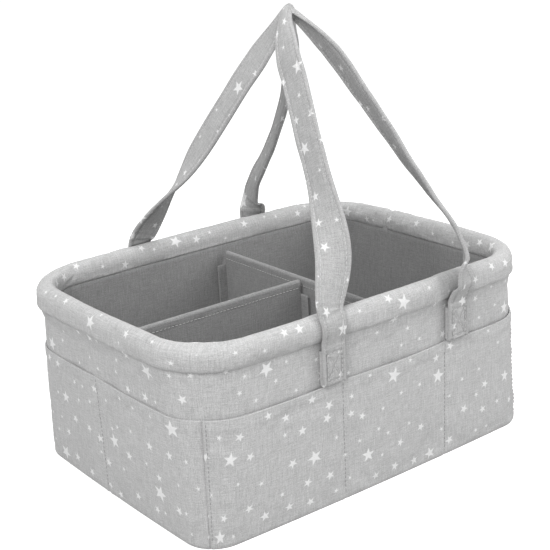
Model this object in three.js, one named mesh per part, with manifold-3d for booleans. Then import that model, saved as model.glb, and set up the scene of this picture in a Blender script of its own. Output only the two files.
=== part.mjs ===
// Diaper caddy: a fabric tote with a padded rim, ten outer pockets, two carrying
// handles and two lift-out dividers. Millimetres, +Z up, and the front faces -Y.
// The origin is the middle of the underside.
import * as THREE from 'three'
import { mergeVertices } from 'three/addons/utils/BufferGeometryUtils.js'
import Module from 'manifold-3d'

const wasm = await Module()
wasm.setup()

// Driving sizes of the body, measured over the pockets
const baseLength = 380
const baseWidth = 280
const bodyHeight = 175
const flare = 1
const longSideBow = 2.5
const shortSideBow = 1.5
const baseCornerRadius = 30
const rimCornerRadius = 55

// Layers of the wall, from the outside in
const clearance = 0.3
const fabricThickness = 1.2
const stiffenerThickness = 7.6
const liningThickness = 1

// Layers of the floor, from the underside up
const undersideThickness = 1.2
const baseBoardThickness = 3
const floorLiningThickness = 1

// Padded rim. It stands out past the wall.
const rimHeight = 24
const rimWidth = 18
const rimOverhang = 5.6
const bindingThickness = 1.5
const wallBite = 7

// Outer pockets
const pocketTopDrop = 62
const pocketThickness = 1.2
const pocketSlack = 6.5
const hemHeight = 12
const hemThickness = 1.7
const endSeamOffset = 12

// Handles
const handleOffset = 15
const handleSpacing = 120
const strapWidth = 30
const strapFootWidth = 24
const strapThickness = 3
const strapSkin = 0.6
const strapEndDrop = 3.7
const strapEndSlit = 0.4
const strapEdge = 0.8
const handleRise = 223
const frontHandleLean = 8
const backHandleLean = 19
const handleApexSpread = 12
const apexWidthShare = 0.36

// Dividers
const dividerX = 32
const dividerY = 0
const dividerTopDrop = 25.2
const dividerBoardThickness = 2
const dividerCoverThickness = 0.9
const endFlangeWidth = 24
const endFlangeThickness = 1.4
const endFlangeHeight = 96
const tapeWidth = 20
const tapeHeight = 90
const tapeThickness = 1.2
const tapeTopDrop = 14

// Facets
const halfCornerSteps = 4
const longPocketSteps = 4
const shortPocketSteps = 4
const rimSteps = 10
const padSteps = 8
const spanSteps = 3
const foldSteps = 6

// Places worked out from the sizes above
const wallThickness = fabricThickness + stiffenerThickness + liningThickness + 2 * clearance
const rimMiddle = bodyHeight - rimHeight / 2
const rimBottom = bodyHeight - rimHeight
const rimCentre = rimOverhang - rimWidth / 2
const wallTop = rimBottom + wallBite
const pocketHeight = bodyHeight - pocketTopDrop
const apexHeight = bodyHeight + handleRise
const boardBottom = undersideThickness + clearance
const boardTop = boardBottom + baseBoardThickness
const layersBottom = boardTop + clearance
const floorTop = layersBottom + floorLiningThickness
const liningOffset = -wallThickness
const legInnerEdge = handleSpacing / 2
const legMiddle = (handleSpacing + strapFootWidth) / 2

const group = new THREE.Group()

const materials = {
  printedCotton: new THREE.MeshStandardMaterial({ color: 0xb4b4b5, roughness: 0.9, metalness: 0 }),
  strapCotton: new THREE.MeshStandardMaterial({ color: 0xb0b0b1, roughness: 0.9, metalness: 0 }),
  lining: new THREE.MeshStandardMaterial({ color: 0x6f7072, roughness: 0.95, metalness: 0 }),
  padding: new THREE.MeshStandardMaterial({ color: 0xe6e4df, roughness: 1, metalness: 0 }),
  feltBoard: new THREE.MeshStandardMaterial({ color: 0x8f9091, roughness: 1, metalness: 0 }),
  baseBoard: new THREE.MeshStandardMaterial({ color: 0x3a3b3d, roughness: 0.6, metalness: 0 }),
  webbing: new THREE.MeshStandardMaterial({ color: 0xd8d8d6, roughness: 0.9, metalness: 0 }),
  tape: new THREE.MeshStandardMaterial({ color: 0x9a9b9d, roughness: 1, metalness: 0 })
}

function addPart(name, geometry, material, parent = group) {
  const mesh = new THREE.Mesh(geometry, material)
  mesh.name = name
  parent.add(mesh)
  return mesh
}

// A closed mesh from points and triangles, with its faces turned outward
function closedGeometry(points, triangles) {
  let volume = 0
  for (const [i, j, k] of triangles) volume += points[i].dot(points[j].clone().cross(points[k]))
  const turned = volume < 0 ? triangles.map(([i, j, k]) => [i, k, j]) : triangles
  const geometry = new THREE.BufferGeometry()
  geometry.setAttribute('position', new THREE.Float32BufferAttribute(points.flatMap((p) => p.toArray()), 3))
  geometry.setIndex(turned.flat())
  geometry.computeVertexNormals()
  return geometry
}

function toSolid(geometry) {
  const bare = geometry.clone()
  bare.deleteAttribute('normal')
  bare.deleteAttribute('uv')
  const merged = mergeVertices(bare)
  return new wasm.Manifold(new wasm.Mesh({
    numProp: 3,
    vertProperties: new Float32Array(merged.attributes.position.array),
    triVerts: new Uint32Array(merged.index.array)
  }))
}

function fromSolid(solid) {
  const mesh = solid.getMesh()
  const geometry = new THREE.BufferGeometry()
  geometry.setAttribute('position', new THREE.Float32BufferAttribute(mesh.vertProperties, 3))
  geometry.setIndex(Array.from(mesh.triVerts))
  geometry.computeVertexNormals()
  return geometry
}

// A box between two corners
function block(low, high) {
  const size = high.map((value, axis) => value - low[axis])
  const geometry = new THREE.BoxGeometry(...size)
  return geometry.translate(...low.map((value, axis) => value + size[axis] / 2))
}

// The outline of the body wall's outside at height z: half sizes and corner radius.
// The corner leaves room for the handle on the long side and the seam on the short one.
function bodyAt(z) {
  const rise = z / bodyHeight
  const skin = pocketThickness + clearance
  const halfX = baseLength / 2 - skin + flare * rise
  const halfY = baseWidth / 2 - skin + flare * rise
  const wanted = baseCornerRadius + (rimCornerRadius - baseCornerRadius) * rise
  const room = Math.min(halfX - handleOffset - legInnerEdge - strapFootWidth, halfY - endSeamOffset)
  return { halfX, halfY, radius: Math.min(wanted, room) }
}

// The four sides in turn, seen from above against the clock, each from the middle of
// one corner to the middle of the next. Stops are the places along the straight part
// where pockets are sewn down, as functions of half its length.
const start = (straight) => -straight
const end = (straight) => straight
const sides = [
  {
    name: 'front', steps: longPocketSteps, bow: longSideBow,
    stops: [start, () => handleOffset - legInnerEdge, () => handleOffset + legInnerEdge, end]
  },
  { name: 'right', steps: shortPocketSteps, bow: shortSideBow, stops: [start, () => endSeamOffset, end] },
  {
    name: 'back', steps: longPocketSteps, bow: longSideBow,
    stops: [start, () => -handleOffset - legInnerEdge, () => -handleOffset + legInnerEdge, end]
  },
  { name: 'left', steps: shortPocketSteps, bow: shortSideBow, stops: [start, () => -endSeamOffset, end] }
]

// A point of the wall's outside at a column and a height, with the direction out of the wall
function columnAt(column, z) {
  const { side, turn, stop, share } = column
  const body = bodyAt(z)
  const [reach, out] = side % 2 === 0 ? [body.halfX, body.halfY] : [body.halfY, body.halfX]
  const straight = reach - body.radius
  let along
  let away
  if (turn === 0) {
    const { stops, bow } = sides[side]
    along = THREE.MathUtils.lerp(stops[stop](straight), stops[stop + 1](straight), share)
    away = out + bow * (1 - (along / straight) ** 2)
  } else {
    along = Math.sign(turn) * straight + body.radius * Math.sin(turn)
    away = out - body.radius + body.radius * Math.cos(turn)
  }
  const facing = (side - 1) * Math.PI / 2
  const outward = new THREE.Vector2(Math.cos(facing), Math.sin(facing))
  const forward = new THREE.Vector2(-outward.y, outward.x)
  const point = outward.clone().multiplyScalar(away).addScaledVector(forward, along)
  const normal = outward.clone().multiplyScalar(Math.cos(turn)).addScaledVector(forward, Math.sin(turn))
  return { point, normal }
}

// The columns of one side. The middle of each corner leaves a narrow gap between sides.
function sideColumns(side) {
  const gapTurn = Math.asin(clearance / (baseCornerRadius - wallThickness))
  const turns = []
  for (let i = 0; i < halfCornerSteps; i++) {
    turns.push((Math.PI / 4 - gapTurn / 2) * (1 - i / halfCornerSteps))
  }
  const columns = turns.map((turn) => ({ side, turn: -turn }))
  const { stops, steps } = sides[side]
  for (let stop = 0; stop < stops.length - 1; stop++) {
    for (let i = stop === 0 ? 0 : 1; i <= steps; i++) {
      columns.push({ side, turn: 0, stop, share: i / steps, seam: i === steps && stop < stops.length - 2 })
    }
  }
  for (const turn of turns.toReversed()) columns.push({ side, turn })
  columns[0].seam = true
  columns.at(-1).seam = true
  return columns
}

// How slack the pocket is at each column: nothing at a seam, most half-way between two
function addSlack(columns) {
  const places = columns.map((column) => columnAt(column, pocketHeight).point)
  const lengths = [0]
  for (let i = 1; i < places.length; i++) lengths.push(lengths[i - 1] + places[i].distanceTo(places[i - 1]))
  const seams = columns.flatMap((column, i) => column.seam ? [i] : [])
  return columns.map((column, i) => {
    const next = Math.max(1, seams.findIndex((seam) => seam >= i))
    const from = lengths[seams[next - 1]]
    const to = lengths[seams[next]]
    const share = (lengths[i] - from) / (to - from)
    return { ...column, slack: pocketSlack * (1 - (2 * share - 1) ** 2) }
  })
}

const columnsOfSides = sides.map((side, index) => addSlack(sideColumns(index)))
const allColumns = columnsOfSides.flat()

// A band that follows the wall. Each point of its section is an offset out of the wall,
// a height, and how much of the pocket's slack it takes.
function band(columns, section, closed) {
  const points = []
  for (const column of columns) {
    for (const [offset, z, slackShare = 0] of section) {
      const { point, normal } = columnAt(column, z)
      const place = point.clone().addScaledVector(normal, offset + slackShare * column.slack)
      points.push(new THREE.Vector3(place.x, place.y, z))
    }
  }
  return closedGeometry(points, sweptTriangles(columns.length, section, closed))
}

// The triangles of a section swept through a number of stations
function sweptTriangles(stations, section, closed) {
  const count = section.length
  const triangles = []
  for (let i = 0; i < (closed ? stations : stations - 1); i++) {
    const here = i * count
    const there = ((i + 1) % stations) * count
    for (let j = 0; j < count; j++) {
      const next = (j + 1) % count
      triangles.push([here + j, there + j, there + next], [here + j, there + next, here + next])
    }
  }
  if (closed) return triangles
  const flat = section.map(([u, v]) => new THREE.Vector2(u, v))
  const last = (stations - 1) * count
  for (const cap of THREE.ShapeUtils.triangulateShape(flat, [])) {
    const agrees = THREE.ShapeUtils.isClockWise(cap.map((i) => flat[i])) === THREE.ShapeUtils.isClockWise(flat)
    const [a, b, c] = agrees ? cap : cap.toReversed()
    triangles.push([a, b, c], [last + a, last + c, last + b])
  }
  return triangles
}

// A plate with the wall's outline, moved in or out by an offset
function plate(offset, bottom, top) {
  const count = allColumns.length
  const points = []
  for (const z of [bottom, top]) {
    for (const column of allColumns) {
      const { point, normal } = columnAt(column, z)
      const place = point.clone().addScaledVector(normal, offset)
      points.push(new THREE.Vector3(place.x, place.y, z))
    }
  }
  points.push(new THREE.Vector3(0, 0, bottom), new THREE.Vector3(0, 0, top))
  const triangles = []
  for (let i = 0; i < count; i++) {
    const next = (i + 1) % count
    triangles.push([i, next, count + next], [i, count + next, count + i])
    triangles.push([next, i, 2 * count], [count + i, count + next, 2 * count + 1])
  }
  return closedGeometry(points, triangles)
}

function rectangle(outer, inner, bottom, top) {
  return [[outer, bottom], [outer, top], [inner, top], [inner, bottom]]
}

// Floor
const boardOffset = -fabricThickness - clearance
addPart('underside_panel', plate(0, 0, undersideThickness), materials.printedCotton)
addPart('base_board', plate(boardOffset, boardBottom, boardTop), materials.baseBoard)
addPart('floor_lining', plate(liningOffset - clearance, layersBottom, floorTop), materials.lining)

// Wall: printed cotton outside, one stiffener in each side, lining inside
const stiffenerInner = boardOffset - stiffenerThickness
addPart('outer_wall', band(allColumns, rectangle(0, -fabricThickness, boardBottom, wallTop), true),
  materials.printedCotton)
for (const [index, side] of sides.entries()) {
  const section = rectangle(boardOffset, stiffenerInner, layersBottom, wallTop)
  addPart(`wall_stiffener_${side.name}`, band(columnsOfSides[index], section, false), materials.feltBoard)
}
addPart('lining_wall', band(allColumns, rectangle(stiffenerInner - clearance, liningOffset, layersBottom, wallTop),
  true), materials.lining)

// Padded rim: a padding roll on top of the wall, in a binding open below, where the wall goes in
const slotOuter = clearance
const slotInner = -wallThickness - clearance

function ellipsePoint(halfWidth, halfHeight, angle) {
  return [rimCentre + halfWidth * Math.cos(angle), rimMiddle + halfHeight * Math.sin(angle)]
}

function bindingSection() {
  const arc = (halfWidth, halfHeight) => {
    const turnTo = (offset) => Math.asin(Math.min(1, Math.abs(offset - rimCentre) / halfWidth))
    const first = -Math.PI / 2 + turnTo(slotOuter)
    const last = Math.PI * 1.5 - turnTo(slotInner)
    const points = []
    for (let i = 0; i <= rimSteps; i++) {
      points.push(ellipsePoint(halfWidth, halfHeight, first + (last - first) * i / rimSteps))
    }
    return points
  }
  const outer = arc(rimWidth / 2, rimHeight / 2)
  const inner = arc(rimWidth / 2 - bindingThickness, rimHeight / 2 - bindingThickness)
  return [...outer, ...inner.toReversed()]
}

function paddingSection() {
  const halfWidth = rimWidth / 2 - bindingThickness - clearance
  const halfHeight = rimHeight / 2 - bindingThickness - clearance
  const low = Math.asin((wallTop + clearance - rimMiddle) / halfHeight)
  const points = []
  for (let i = 0; i <= padSteps; i++) {
    points.push(ellipsePoint(halfWidth, halfHeight, low + (Math.PI - 2 * low) * i / padSteps))
  }
  return points
}

addPart('rim_binding', band(allColumns, bindingSection(), true), materials.printedCotton)
addPart('rim_padding', band(allColumns, paddingSection(), true), materials.padding)

// Outer pockets: one panel for each side, sewn down at the corners and at the stops between.
// The top edge is turned over into a hem, and the panel stands away from the wall towards it.
const pocketRowShares = [0, 0.2, 0.45, 0.7]
const pocketLeanPower = 0.8

function pocketSection() {
  const lean = (z) => (z / pocketHeight) ** pocketLeanPower
  const hemBottom = pocketHeight - hemHeight
  const rows = pocketRowShares.map((share) => share * pocketHeight)
  const inner = [...rows, hemBottom, pocketHeight].map((z) => [clearance, z, lean(z)])
  const outer = [...rows, hemBottom].map((z) => [clearance + pocketThickness, z, lean(z)])
  const hem = [hemBottom, pocketHeight].map((z) => [clearance + hemThickness, z, lean(z)])
  return [...outer, ...hem, ...inner.toReversed()]
}

for (const [index, side] of sides.entries()) {
  addPart(`pocket_${side.name}`, band(columnsOfSides[index], pocketSection(), false), materials.printedCotton)
}

// The outside of the front or back wall at a place along it
function longWallFace(x, z) {
  const { halfX, halfY, radius } = bodyAt(z)
  return halfY + longSideBow * (1 - (x / (halfX - radius)) ** 2)
}

// Handles: at each foot the strap is folded back on itself and sewn to the wall between the
// pocket's edge and the rim. The loop turns at the top of that sewn foot, about one line.
const footBottom = pocketHeight + clearance
const footTop = rimBottom - strapEndDrop
const hingeHeight = footTop + 2 * clearance
const footSeat = longWallFace(legInnerEdge - handleOffset, footTop) + clearance
const hingeOut = footSeat + strapThickness * 1.5 + strapEndSlit

// The profile of a sewn foot: out of the wall along x, up along y
function footProfile() {
  const bend = strapThickness + strapEndSlit / 2
  const shape = new THREE.Shape()
  shape.moveTo(0, footTop - strapThickness)
  shape.lineTo(0, footBottom + bend)
  shape.absarc(bend, footBottom + bend, bend, Math.PI, 2 * Math.PI, false)
  shape.lineTo(2 * bend, footTop)
  shape.lineTo(bend + strapEndSlit / 2, footTop)
  shape.lineTo(bend + strapEndSlit / 2, footBottom + bend)
  shape.absarc(bend, footBottom + bend, strapEndSlit / 2, 0, Math.PI, true)
  shape.lineTo(bend - strapEndSlit / 2, footTop - strapThickness)
  shape.closePath()
  return shape
}

// The legs stand up in soft curves, no two alike. For each one, in order: how much further than
// its own thickness it stands off the roll, how far round the roll it goes, as a share of half
// a turn, its turn at the hinge, just above it and at the three points by the roll, as shares
// of a quarter turn, and its points from there to the apex. These say how far up, how far in
// over the body and how far from the apex along the body, as shares of each span, and the turn.
const handles = [
  {
    name: 'front', facing: -1, lean: frontHandleLean,
    legs: [
      {
        direction: -1, rollStand: 0, shoulderTurnShare: 0.12, rollTurnShares: [0, 0, 0, 0, 0.02],
        pointShares: [[0.22, 0.12, 0.8, 0.43], [0.4, 0.32, 0.62, 0.94], [0.58, 0.51, 0.5, 1],
          [0.76, 0.7, 0.37, 1], [0.91, 0.88, 0.24, 1]]
      },
      {
        direction: 1, rollStand: 6.5, shoulderTurnShare: 0.06, rollTurnShares: [0, 0, 0.06, 0.2, 0.38],
        pointShares: [[0.1, 0.02, 1.07, 0.53], [0.22, 0.1, 1.01, 0.6], [0.34, 0.24, 0.87, 0.68],
          [0.5, 0.42, 0.7, 0.78], [0.68, 0.62, 0.53, 0.86], [0.86, 0.83, 0.32, 0.95]]
      }
    ]
  },
  {
    name: 'back', facing: 1, lean: backHandleLean,
    legs: [
      {
        direction: -1, rollStand: 0, shoulderTurnShare: 0.2, rollTurnShares: [0, 0, 0, 0, 0.02],
        pointShares: [[0.2, 0.19, 0.82, 0.4], [0.4, 0.4, 0.6, 0.94], [0.65, 0.65, 0.35, 1],
          [0.85, 0.85, 0.14, 1]]
      },
      {
        direction: 1, rollStand: 6, shoulderTurnShare: 0.06, rollTurnShares: [0, 0, 0.03, 0.14, 0.5],
        pointShares: [[0.1, 0.02, 0.97, 1.1], [0.2, 0.12, 0.9, 1.3], [0.38, 0.34, 0.86, 1.38],
          [0.57, 0.55, 0.74, 1.38], [0.76, 0.76, 0.5, 1.3], [0.9, 0.9, 0.25, 1.15]]
      }
    ]
  }
]
const hingeRun = 2.4
const besideDropShare = 0.05
const besideStandShare = 0.55
const shoulderRun = 12
const apexPinch = 60
const footTaper = 60

// One leg from its hinge up to the last point before the apex
function legPoints(handle, leg) {
  const legX = handleOffset + leg.direction * legMiddle
  const apexX = handleOffset + handle.lean
  const apexOut = handleApexSpread / 2
  const rimOut = longWallFace(legX, rimMiddle) + rimCentre
  const stand = strapThickness / 2 + clearance
  const turn = leg.shoulderTurnShare * Math.PI
  const shoulder = new THREE.Vector2(rimWidth / 2 * Math.cos(turn), rimHeight / 2 * Math.sin(turn))
  const lift = new THREE.Vector2(Math.cos(turn) / rimWidth, Math.sin(turn) / rimHeight)
  lift.setLength(stand + 2 * clearance + leg.rollStand)
  const besideOut = rimOut + rimWidth / 2 + stand + clearance + besideStandShare * leg.rollStand
  const shoulderOut = rimOut + shoulder.x + lift.x
  const shoulderHeight = rimMiddle + shoulder.y + lift.y
  const profile = [
    [hingeOut, hingeHeight],
    [hingeOut, hingeHeight + hingeRun],
    [Math.max(hingeOut, besideOut), rimMiddle - besideDropShare * rimHeight],
    [shoulderOut, shoulderHeight],
    [shoulderOut - shoulderRun * Math.sin(turn), shoulderHeight + shoulderRun * Math.cos(turn)]
  ]
  const points = profile.map(([out, z]) => new THREE.Vector3(legX, handle.facing * out, z))
  for (const [up, inward, beside] of leg.pointShares) {
    const out = THREE.MathUtils.lerp(shoulderOut, apexOut, inward)
    const z = THREE.MathUtils.lerp(shoulderHeight, apexHeight, up)
    points.push(new THREE.Vector3(apexX + (legX - apexX) * beside, handle.facing * out, z))
  }
  return points
}

// The strap's middle line with, at each station, the directions across and out of its face.
// Each leg lies flat against the wall at its foot and has turned a quarter at the apex.
function handleStations(handle) {
  const [left, right] = handle.legs.map((leg) => legPoints(handle, leg))
  const [leftTurns, rightTurns] = handle.legs.map((leg) =>
    [...leg.rollTurnShares, ...leg.pointShares.map((shares) => shares.at(-1))])
  const apex = new THREE.Vector3(handleOffset + handle.lean, handle.facing * handleApexSpread / 2, apexHeight)
  const route = [...left, apex, ...right.toReversed()]
  const turns = [...leftTurns, 1, ...rightTurns.toReversed()].map((turn) => new THREE.Vector3(turn, 0, 0))
  const curve = new THREE.CatmullRomCurve3(route, false, 'centripetal')
  const turnCurve = new THREE.CatmullRomCurve3(turns, false, 'catmullrom')
  const spans = route.length - 1
  const places = []
  for (let i = 0; i <= spans * spanSteps; i++) places.push(i / (spans * spanSteps))
  const middles = places.map((place) => curve.getPoint(place))
  const lengths = [0]
  for (let i = 1; i < middles.length; i++) lengths.push(lengths[i - 1] + middles[i].distanceTo(middles[i - 1]))
  const apexLength = lengths[left.length * spanSteps]
  const facing = new THREE.Vector3(0, handle.facing, 0)
  return places.map((place, i) => {
    const tangent = curve.getTangent(place)
    const flat = facing.clone().addScaledVector(tangent, -facing.dot(tangent)).normalize()
    const sideways = tangent.clone().cross(flat).multiplyScalar(handle.facing)
    const twist = Math.PI / 2 * turnCurve.getPoint(place).x
    const out = flat.clone().multiplyScalar(Math.cos(twist)).addScaledVector(sideways, Math.sin(twist))
    const across = tangent.clone().cross(out)
    const fromFoot = Math.min(lengths[i], lengths.at(-1) - lengths[i])
    const fromApex = Math.abs(lengths[i] - apexLength)
    const apexShare = THREE.MathUtils.lerp(apexWidthShare, 1, THREE.MathUtils.smoothstep(fromApex, 0, apexPinch))
    const footShare = strapFootWidth / strapWidth
    const width = THREE.MathUtils.lerp(footShare, apexShare, THREE.MathUtils.smoothstep(fromFoot, 0, footTaper))
    return { middle: middles[i], out, across, width }
  })
}

// A strap section with chamfered edges: across, out
function strapSection(halfWidth, halfThickness, chamfer) {
  const corners = [[1, -1], [1, 1], [-1, 1], [-1, -1]]
  return corners.flatMap(([u, v]) => {
    const onFace = [u * (halfWidth - chamfer), v * halfThickness]
    const onEdge = [u * halfWidth, v * (halfThickness - chamfer)]
    return u * v < 0 ? [onFace, onEdge] : [onEdge, onFace]
  })
}

function placeSection(stations, section) {
  return stations.flatMap(({ middle, out, across, width }) => section.map(([u, v]) =>
    middle.clone().addScaledVector(across, u * width).addScaledVector(out, v)))
}

// The strap's cotton: a sleeve open at both feet
function sleeve(stations, outer, inner) {
  const count = outer.length
  const points = [...placeSection(stations, outer), ...placeSection(stations, inner)]
  const innerStart = stations.length * count
  const walls = []
  for (let i = 0; i < stations.length - 1; i++) {
    for (let j = 0; j < count; j++) {
      const next = (j + 1) % count
      const [a, b] = [i * count + j, i * count + next]
      const [c, d] = [a + count, b + count]
      walls.push([a, b, d], [a, d, c])
      walls.push([innerStart + a, innerStart + d, innerStart + b], [innerStart + a, innerStart + c, innerStart + d])
    }
  }
  const last = (stations.length - 1) * count
  for (let j = 0; j < count; j++) {
    const next = (j + 1) % count
    walls.push([j, innerStart + j, innerStart + next], [j, innerStart + next, next])
    walls.push([last + j, last + next, innerStart + last + next],
      [last + j, innerStart + last + next, innerStart + last + j])
  }
  return closedGeometry(points, walls)
}

// The webbing inside: it ends a little short of the sleeve
function core(stations, section) {
  const points = placeSection(stations, section)
  return closedGeometry(points, sweptTriangles(stations.length, section, false))
}

for (const handle of handles) {
  const handleGroup = new THREE.Group()
  group.add(handleGroup)
  const stations = handleStations(handle)
  const halfWidth = strapWidth / 2
  const halfThickness = strapThickness / 2
  const outer = strapSection(halfWidth, halfThickness, strapEdge)
  const inner = strapSection(halfWidth - strapSkin, halfThickness - strapSkin, strapEdge / 2)
  addPart(`${handle.name}_handle_strap`, sleeve(stations, outer, inner), materials.strapCotton, handleGroup)
  const slack = strapSkin + clearance
  const [coreHalfWidth, coreHalfThickness] = [halfWidth - slack, halfThickness - slack]
  const coreSection = rectangle(coreHalfWidth, -coreHalfWidth, -coreHalfThickness, coreHalfThickness)
  addPart(`${handle.name}_handle_webbing`, core(stations, coreSection), materials.webbing, handleGroup)
  for (const [side, direction] of [['left', -1], ['right', 1]]) {
    const foot = new THREE.ExtrudeGeometry(footProfile(),
      { depth: strapFootWidth, bevelEnabled: false, curveSegments: foldSteps })
    const out = new THREE.Vector3(0, handle.facing, 0)
    const up = new THREE.Vector3(0, 0, 1)
    const along = out.clone().cross(up)
    const mesh = addPart(`${handle.name}_strap_foot_${side}`, foot, materials.strapCotton)
    mesh.quaternion.setFromRotationMatrix(new THREE.Matrix4().makeBasis(out, up, along))
    const legX = handleOffset + direction * legMiddle
    mesh.position.set(legX - along.x * strapFootWidth / 2, handle.facing * footSeat, 0)
  }
}

// The outside of the left or right wall at a place along it
function shortWallFace(y, z) {
  const { halfX, halfY, radius } = bodyAt(z)
  return halfX + shortSideBow * (1 - (y / (halfY - radius)) ** 2)
}

// Where the tapes lie, from the middle of the body out. Those on the lining fit it at the
// floor, where the body is narrowest. Those that lift out with a divider clear the rim.
function tapeReaches(wallFace, at) {
  const lining = wallFace(at, floorTop) + liningOffset - clearance
  const rim = wallFace(at + endFlangeWidth / 2, rimMiddle) + rimCentre - rimWidth / 2 - clearance
  return { loop: lining, hook: Math.min(lining - tapeThickness - clearance, rim) }
}

// Dividers: a board in a cover that is open below, with flanges at the ends. Hook tape on
// the flanges holds to loop tape on the lining.
const dividerBottom = floorTop + clearance
const dividerTop = bodyHeight - dividerTopDrop
const coverHalf = dividerBoardThickness / 2 + clearance + dividerCoverThickness
const boardHalf = dividerBoardThickness / 2
const boardRoom = boardHalf + clearance
const flangeTop = dividerTop - tapeTopDrop
const flangeBottom = flangeTop - endFlangeHeight
const tapeMiddle = (flangeTop + flangeBottom) / 2
const tapePitch = tapeThickness + clearance

function tapeBlock(runsAlongX, at, near, direction) {
  const far = near + direction * tapeThickness
  const [low, high] = [Math.min(near, far), Math.max(near, far)]
  const [bottom, top] = [tapeMiddle - tapeHeight / 2, tapeMiddle + tapeHeight / 2]
  const half = tapeWidth / 2
  return runsAlongX
    ? block([at - half, low, bottom], [at + half, high, top])
    : block([low, at - half, bottom], [high, at + half, top])
}

// A cover for a divider that runs from one end to the other: a panel and its end flanges,
// hollow for the board, with a binding folded over the top
function dividerCover(runsAlongX, at, from, to) {
  const lay = (along, across, z) => runsAlongX ? [along, at + across, z] : [at + across, along, z]
  const box = (a, b, half, bottom, top) => {
    const [p, q] = [lay(a, -half, bottom), lay(b, half, top)]
    return toSolid(block(p, q))
  }
  const panel = box(from, to, coverHalf, dividerBottom, dividerTop)
  const first = box(from, from + endFlangeThickness, endFlangeWidth / 2, flangeBottom, flangeTop)
  const second = box(to - endFlangeThickness, to, endFlangeWidth / 2, flangeBottom, flangeTop)
  const hollow = box(from + endFlangeThickness, to - endFlangeThickness, boardRoom,
    dividerBottom - dividerCoverThickness, dividerTop - dividerCoverThickness)
  return fromSolid(panel.add(first).add(second).subtract(hollow))
}

function dividerBoard(runsAlongX, at, from, to) {
  const inset = endFlangeThickness + clearance
  const top = dividerTop - dividerCoverThickness - clearance
  return runsAlongX
    ? block([from + inset, at - boardHalf, dividerBottom], [to - inset, at + boardHalf, top])
    : block([at - boardHalf, from + inset, dividerBottom], [at + boardHalf, to - inset, top])
}

// Cross divider, between the front and the back wall
const crossReaches = tapeReaches(longWallFace, dividerX)
const crossEnd = crossReaches.hook - tapePitch
const crossGroup = new THREE.Group()
group.add(crossGroup)
addPart('cross_divider_cover', dividerCover(false, dividerX, -crossEnd, crossEnd), materials.lining, crossGroup)
addPart('cross_divider_board', dividerBoard(false, dividerX, -crossEnd, crossEnd), materials.feltBoard, crossGroup)
for (const [side, direction] of [['front', -1], ['back', 1]]) {
  const loop = tapeBlock(true, dividerX, direction * crossReaches.loop, -direction)
  const hook = tapeBlock(true, dividerX, direction * crossReaches.hook, -direction)
  addPart(`wall_loop_tape_${side}`, loop, materials.tape)
  addPart(`cross_divider_hook_tape_${side}`, hook, materials.tape, crossGroup)
}

// Long divider, from the left wall to the cross divider
const longReaches = tapeReaches(shortWallFace, dividerY)
const longTo = dividerX - coverHalf - clearance
const longGroup = new THREE.Group()
group.add(longGroup)
const longSpan = [tapePitch - longReaches.hook, longTo - 2 * tapePitch]
addPart('long_divider_cover', dividerCover(true, dividerY, ...longSpan), materials.lining, longGroup)
addPart('long_divider_board', dividerBoard(true, dividerY, ...longSpan), materials.feltBoard, longGroup)
addPart('wall_loop_tape_left', tapeBlock(false, dividerY, -longReaches.loop, 1), materials.tape)
addPart('long_divider_hook_tape_left', tapeBlock(false, dividerY, -longReaches.hook, 1), materials.tape, longGroup)
addPart('cross_divider_loop_tape', tapeBlock(false, dividerY, longTo, -1), materials.tape, crossGroup)
addPart('long_divider_hook_tape_right', tapeBlock(false, dividerY, longTo - tapePitch, -1), materials.tape, longGroup)

export default group
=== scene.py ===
# Diaper caddy in star-printed grey cotton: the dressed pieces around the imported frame.
# Metres, +Z up, and the front faces -Y, as in the frame.
import math
from collections import namedtuple

import bpy
import numpy as np
from mathutils import Matrix, Vector, noise


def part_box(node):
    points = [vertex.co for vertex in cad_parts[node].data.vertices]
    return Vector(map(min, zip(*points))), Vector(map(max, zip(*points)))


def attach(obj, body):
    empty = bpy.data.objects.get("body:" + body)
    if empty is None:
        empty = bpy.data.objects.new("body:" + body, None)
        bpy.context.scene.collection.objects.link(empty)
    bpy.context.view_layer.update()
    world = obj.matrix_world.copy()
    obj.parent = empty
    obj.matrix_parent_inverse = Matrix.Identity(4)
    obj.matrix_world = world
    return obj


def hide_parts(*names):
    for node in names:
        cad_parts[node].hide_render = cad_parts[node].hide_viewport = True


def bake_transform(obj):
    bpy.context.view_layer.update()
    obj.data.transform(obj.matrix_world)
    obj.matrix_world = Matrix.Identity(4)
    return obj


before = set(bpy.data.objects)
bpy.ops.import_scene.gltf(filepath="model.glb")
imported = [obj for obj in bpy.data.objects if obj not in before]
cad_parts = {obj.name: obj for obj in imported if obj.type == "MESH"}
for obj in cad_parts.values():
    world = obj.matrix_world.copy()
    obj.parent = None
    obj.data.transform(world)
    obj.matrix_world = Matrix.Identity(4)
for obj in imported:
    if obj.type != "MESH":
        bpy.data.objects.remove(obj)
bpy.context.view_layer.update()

MM = 0.001
ALL_SIDES = FRONT, RIGHT, BACK, LEFT = range(4)
SIDE_NAMES = ["front", "right", "back", "left"]

# Body outline
LONG_SIDE_BOW = 2.5 * MM
SHORT_SIDE_BOW = 1.5 * MM
FLARE = 1 * MM
BASE_CORNER_RADIUS = 30 * MM
RIM_CORNER_RADIUS = 55 * MM
HALF_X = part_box("underside_panel")[1].x - SHORT_SIDE_BOW
HALF_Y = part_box("underside_panel")[1].y - LONG_SIDE_BOW
BODY_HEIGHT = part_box("rim_binding")[1].z
UNDERSIDE_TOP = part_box("underside_panel")[1].z
CLEARANCE = 0.3 * MM
FABRIC = 1.2 * MM
LINING = 1 * MM
WALL = 10.4 * MM

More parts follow.
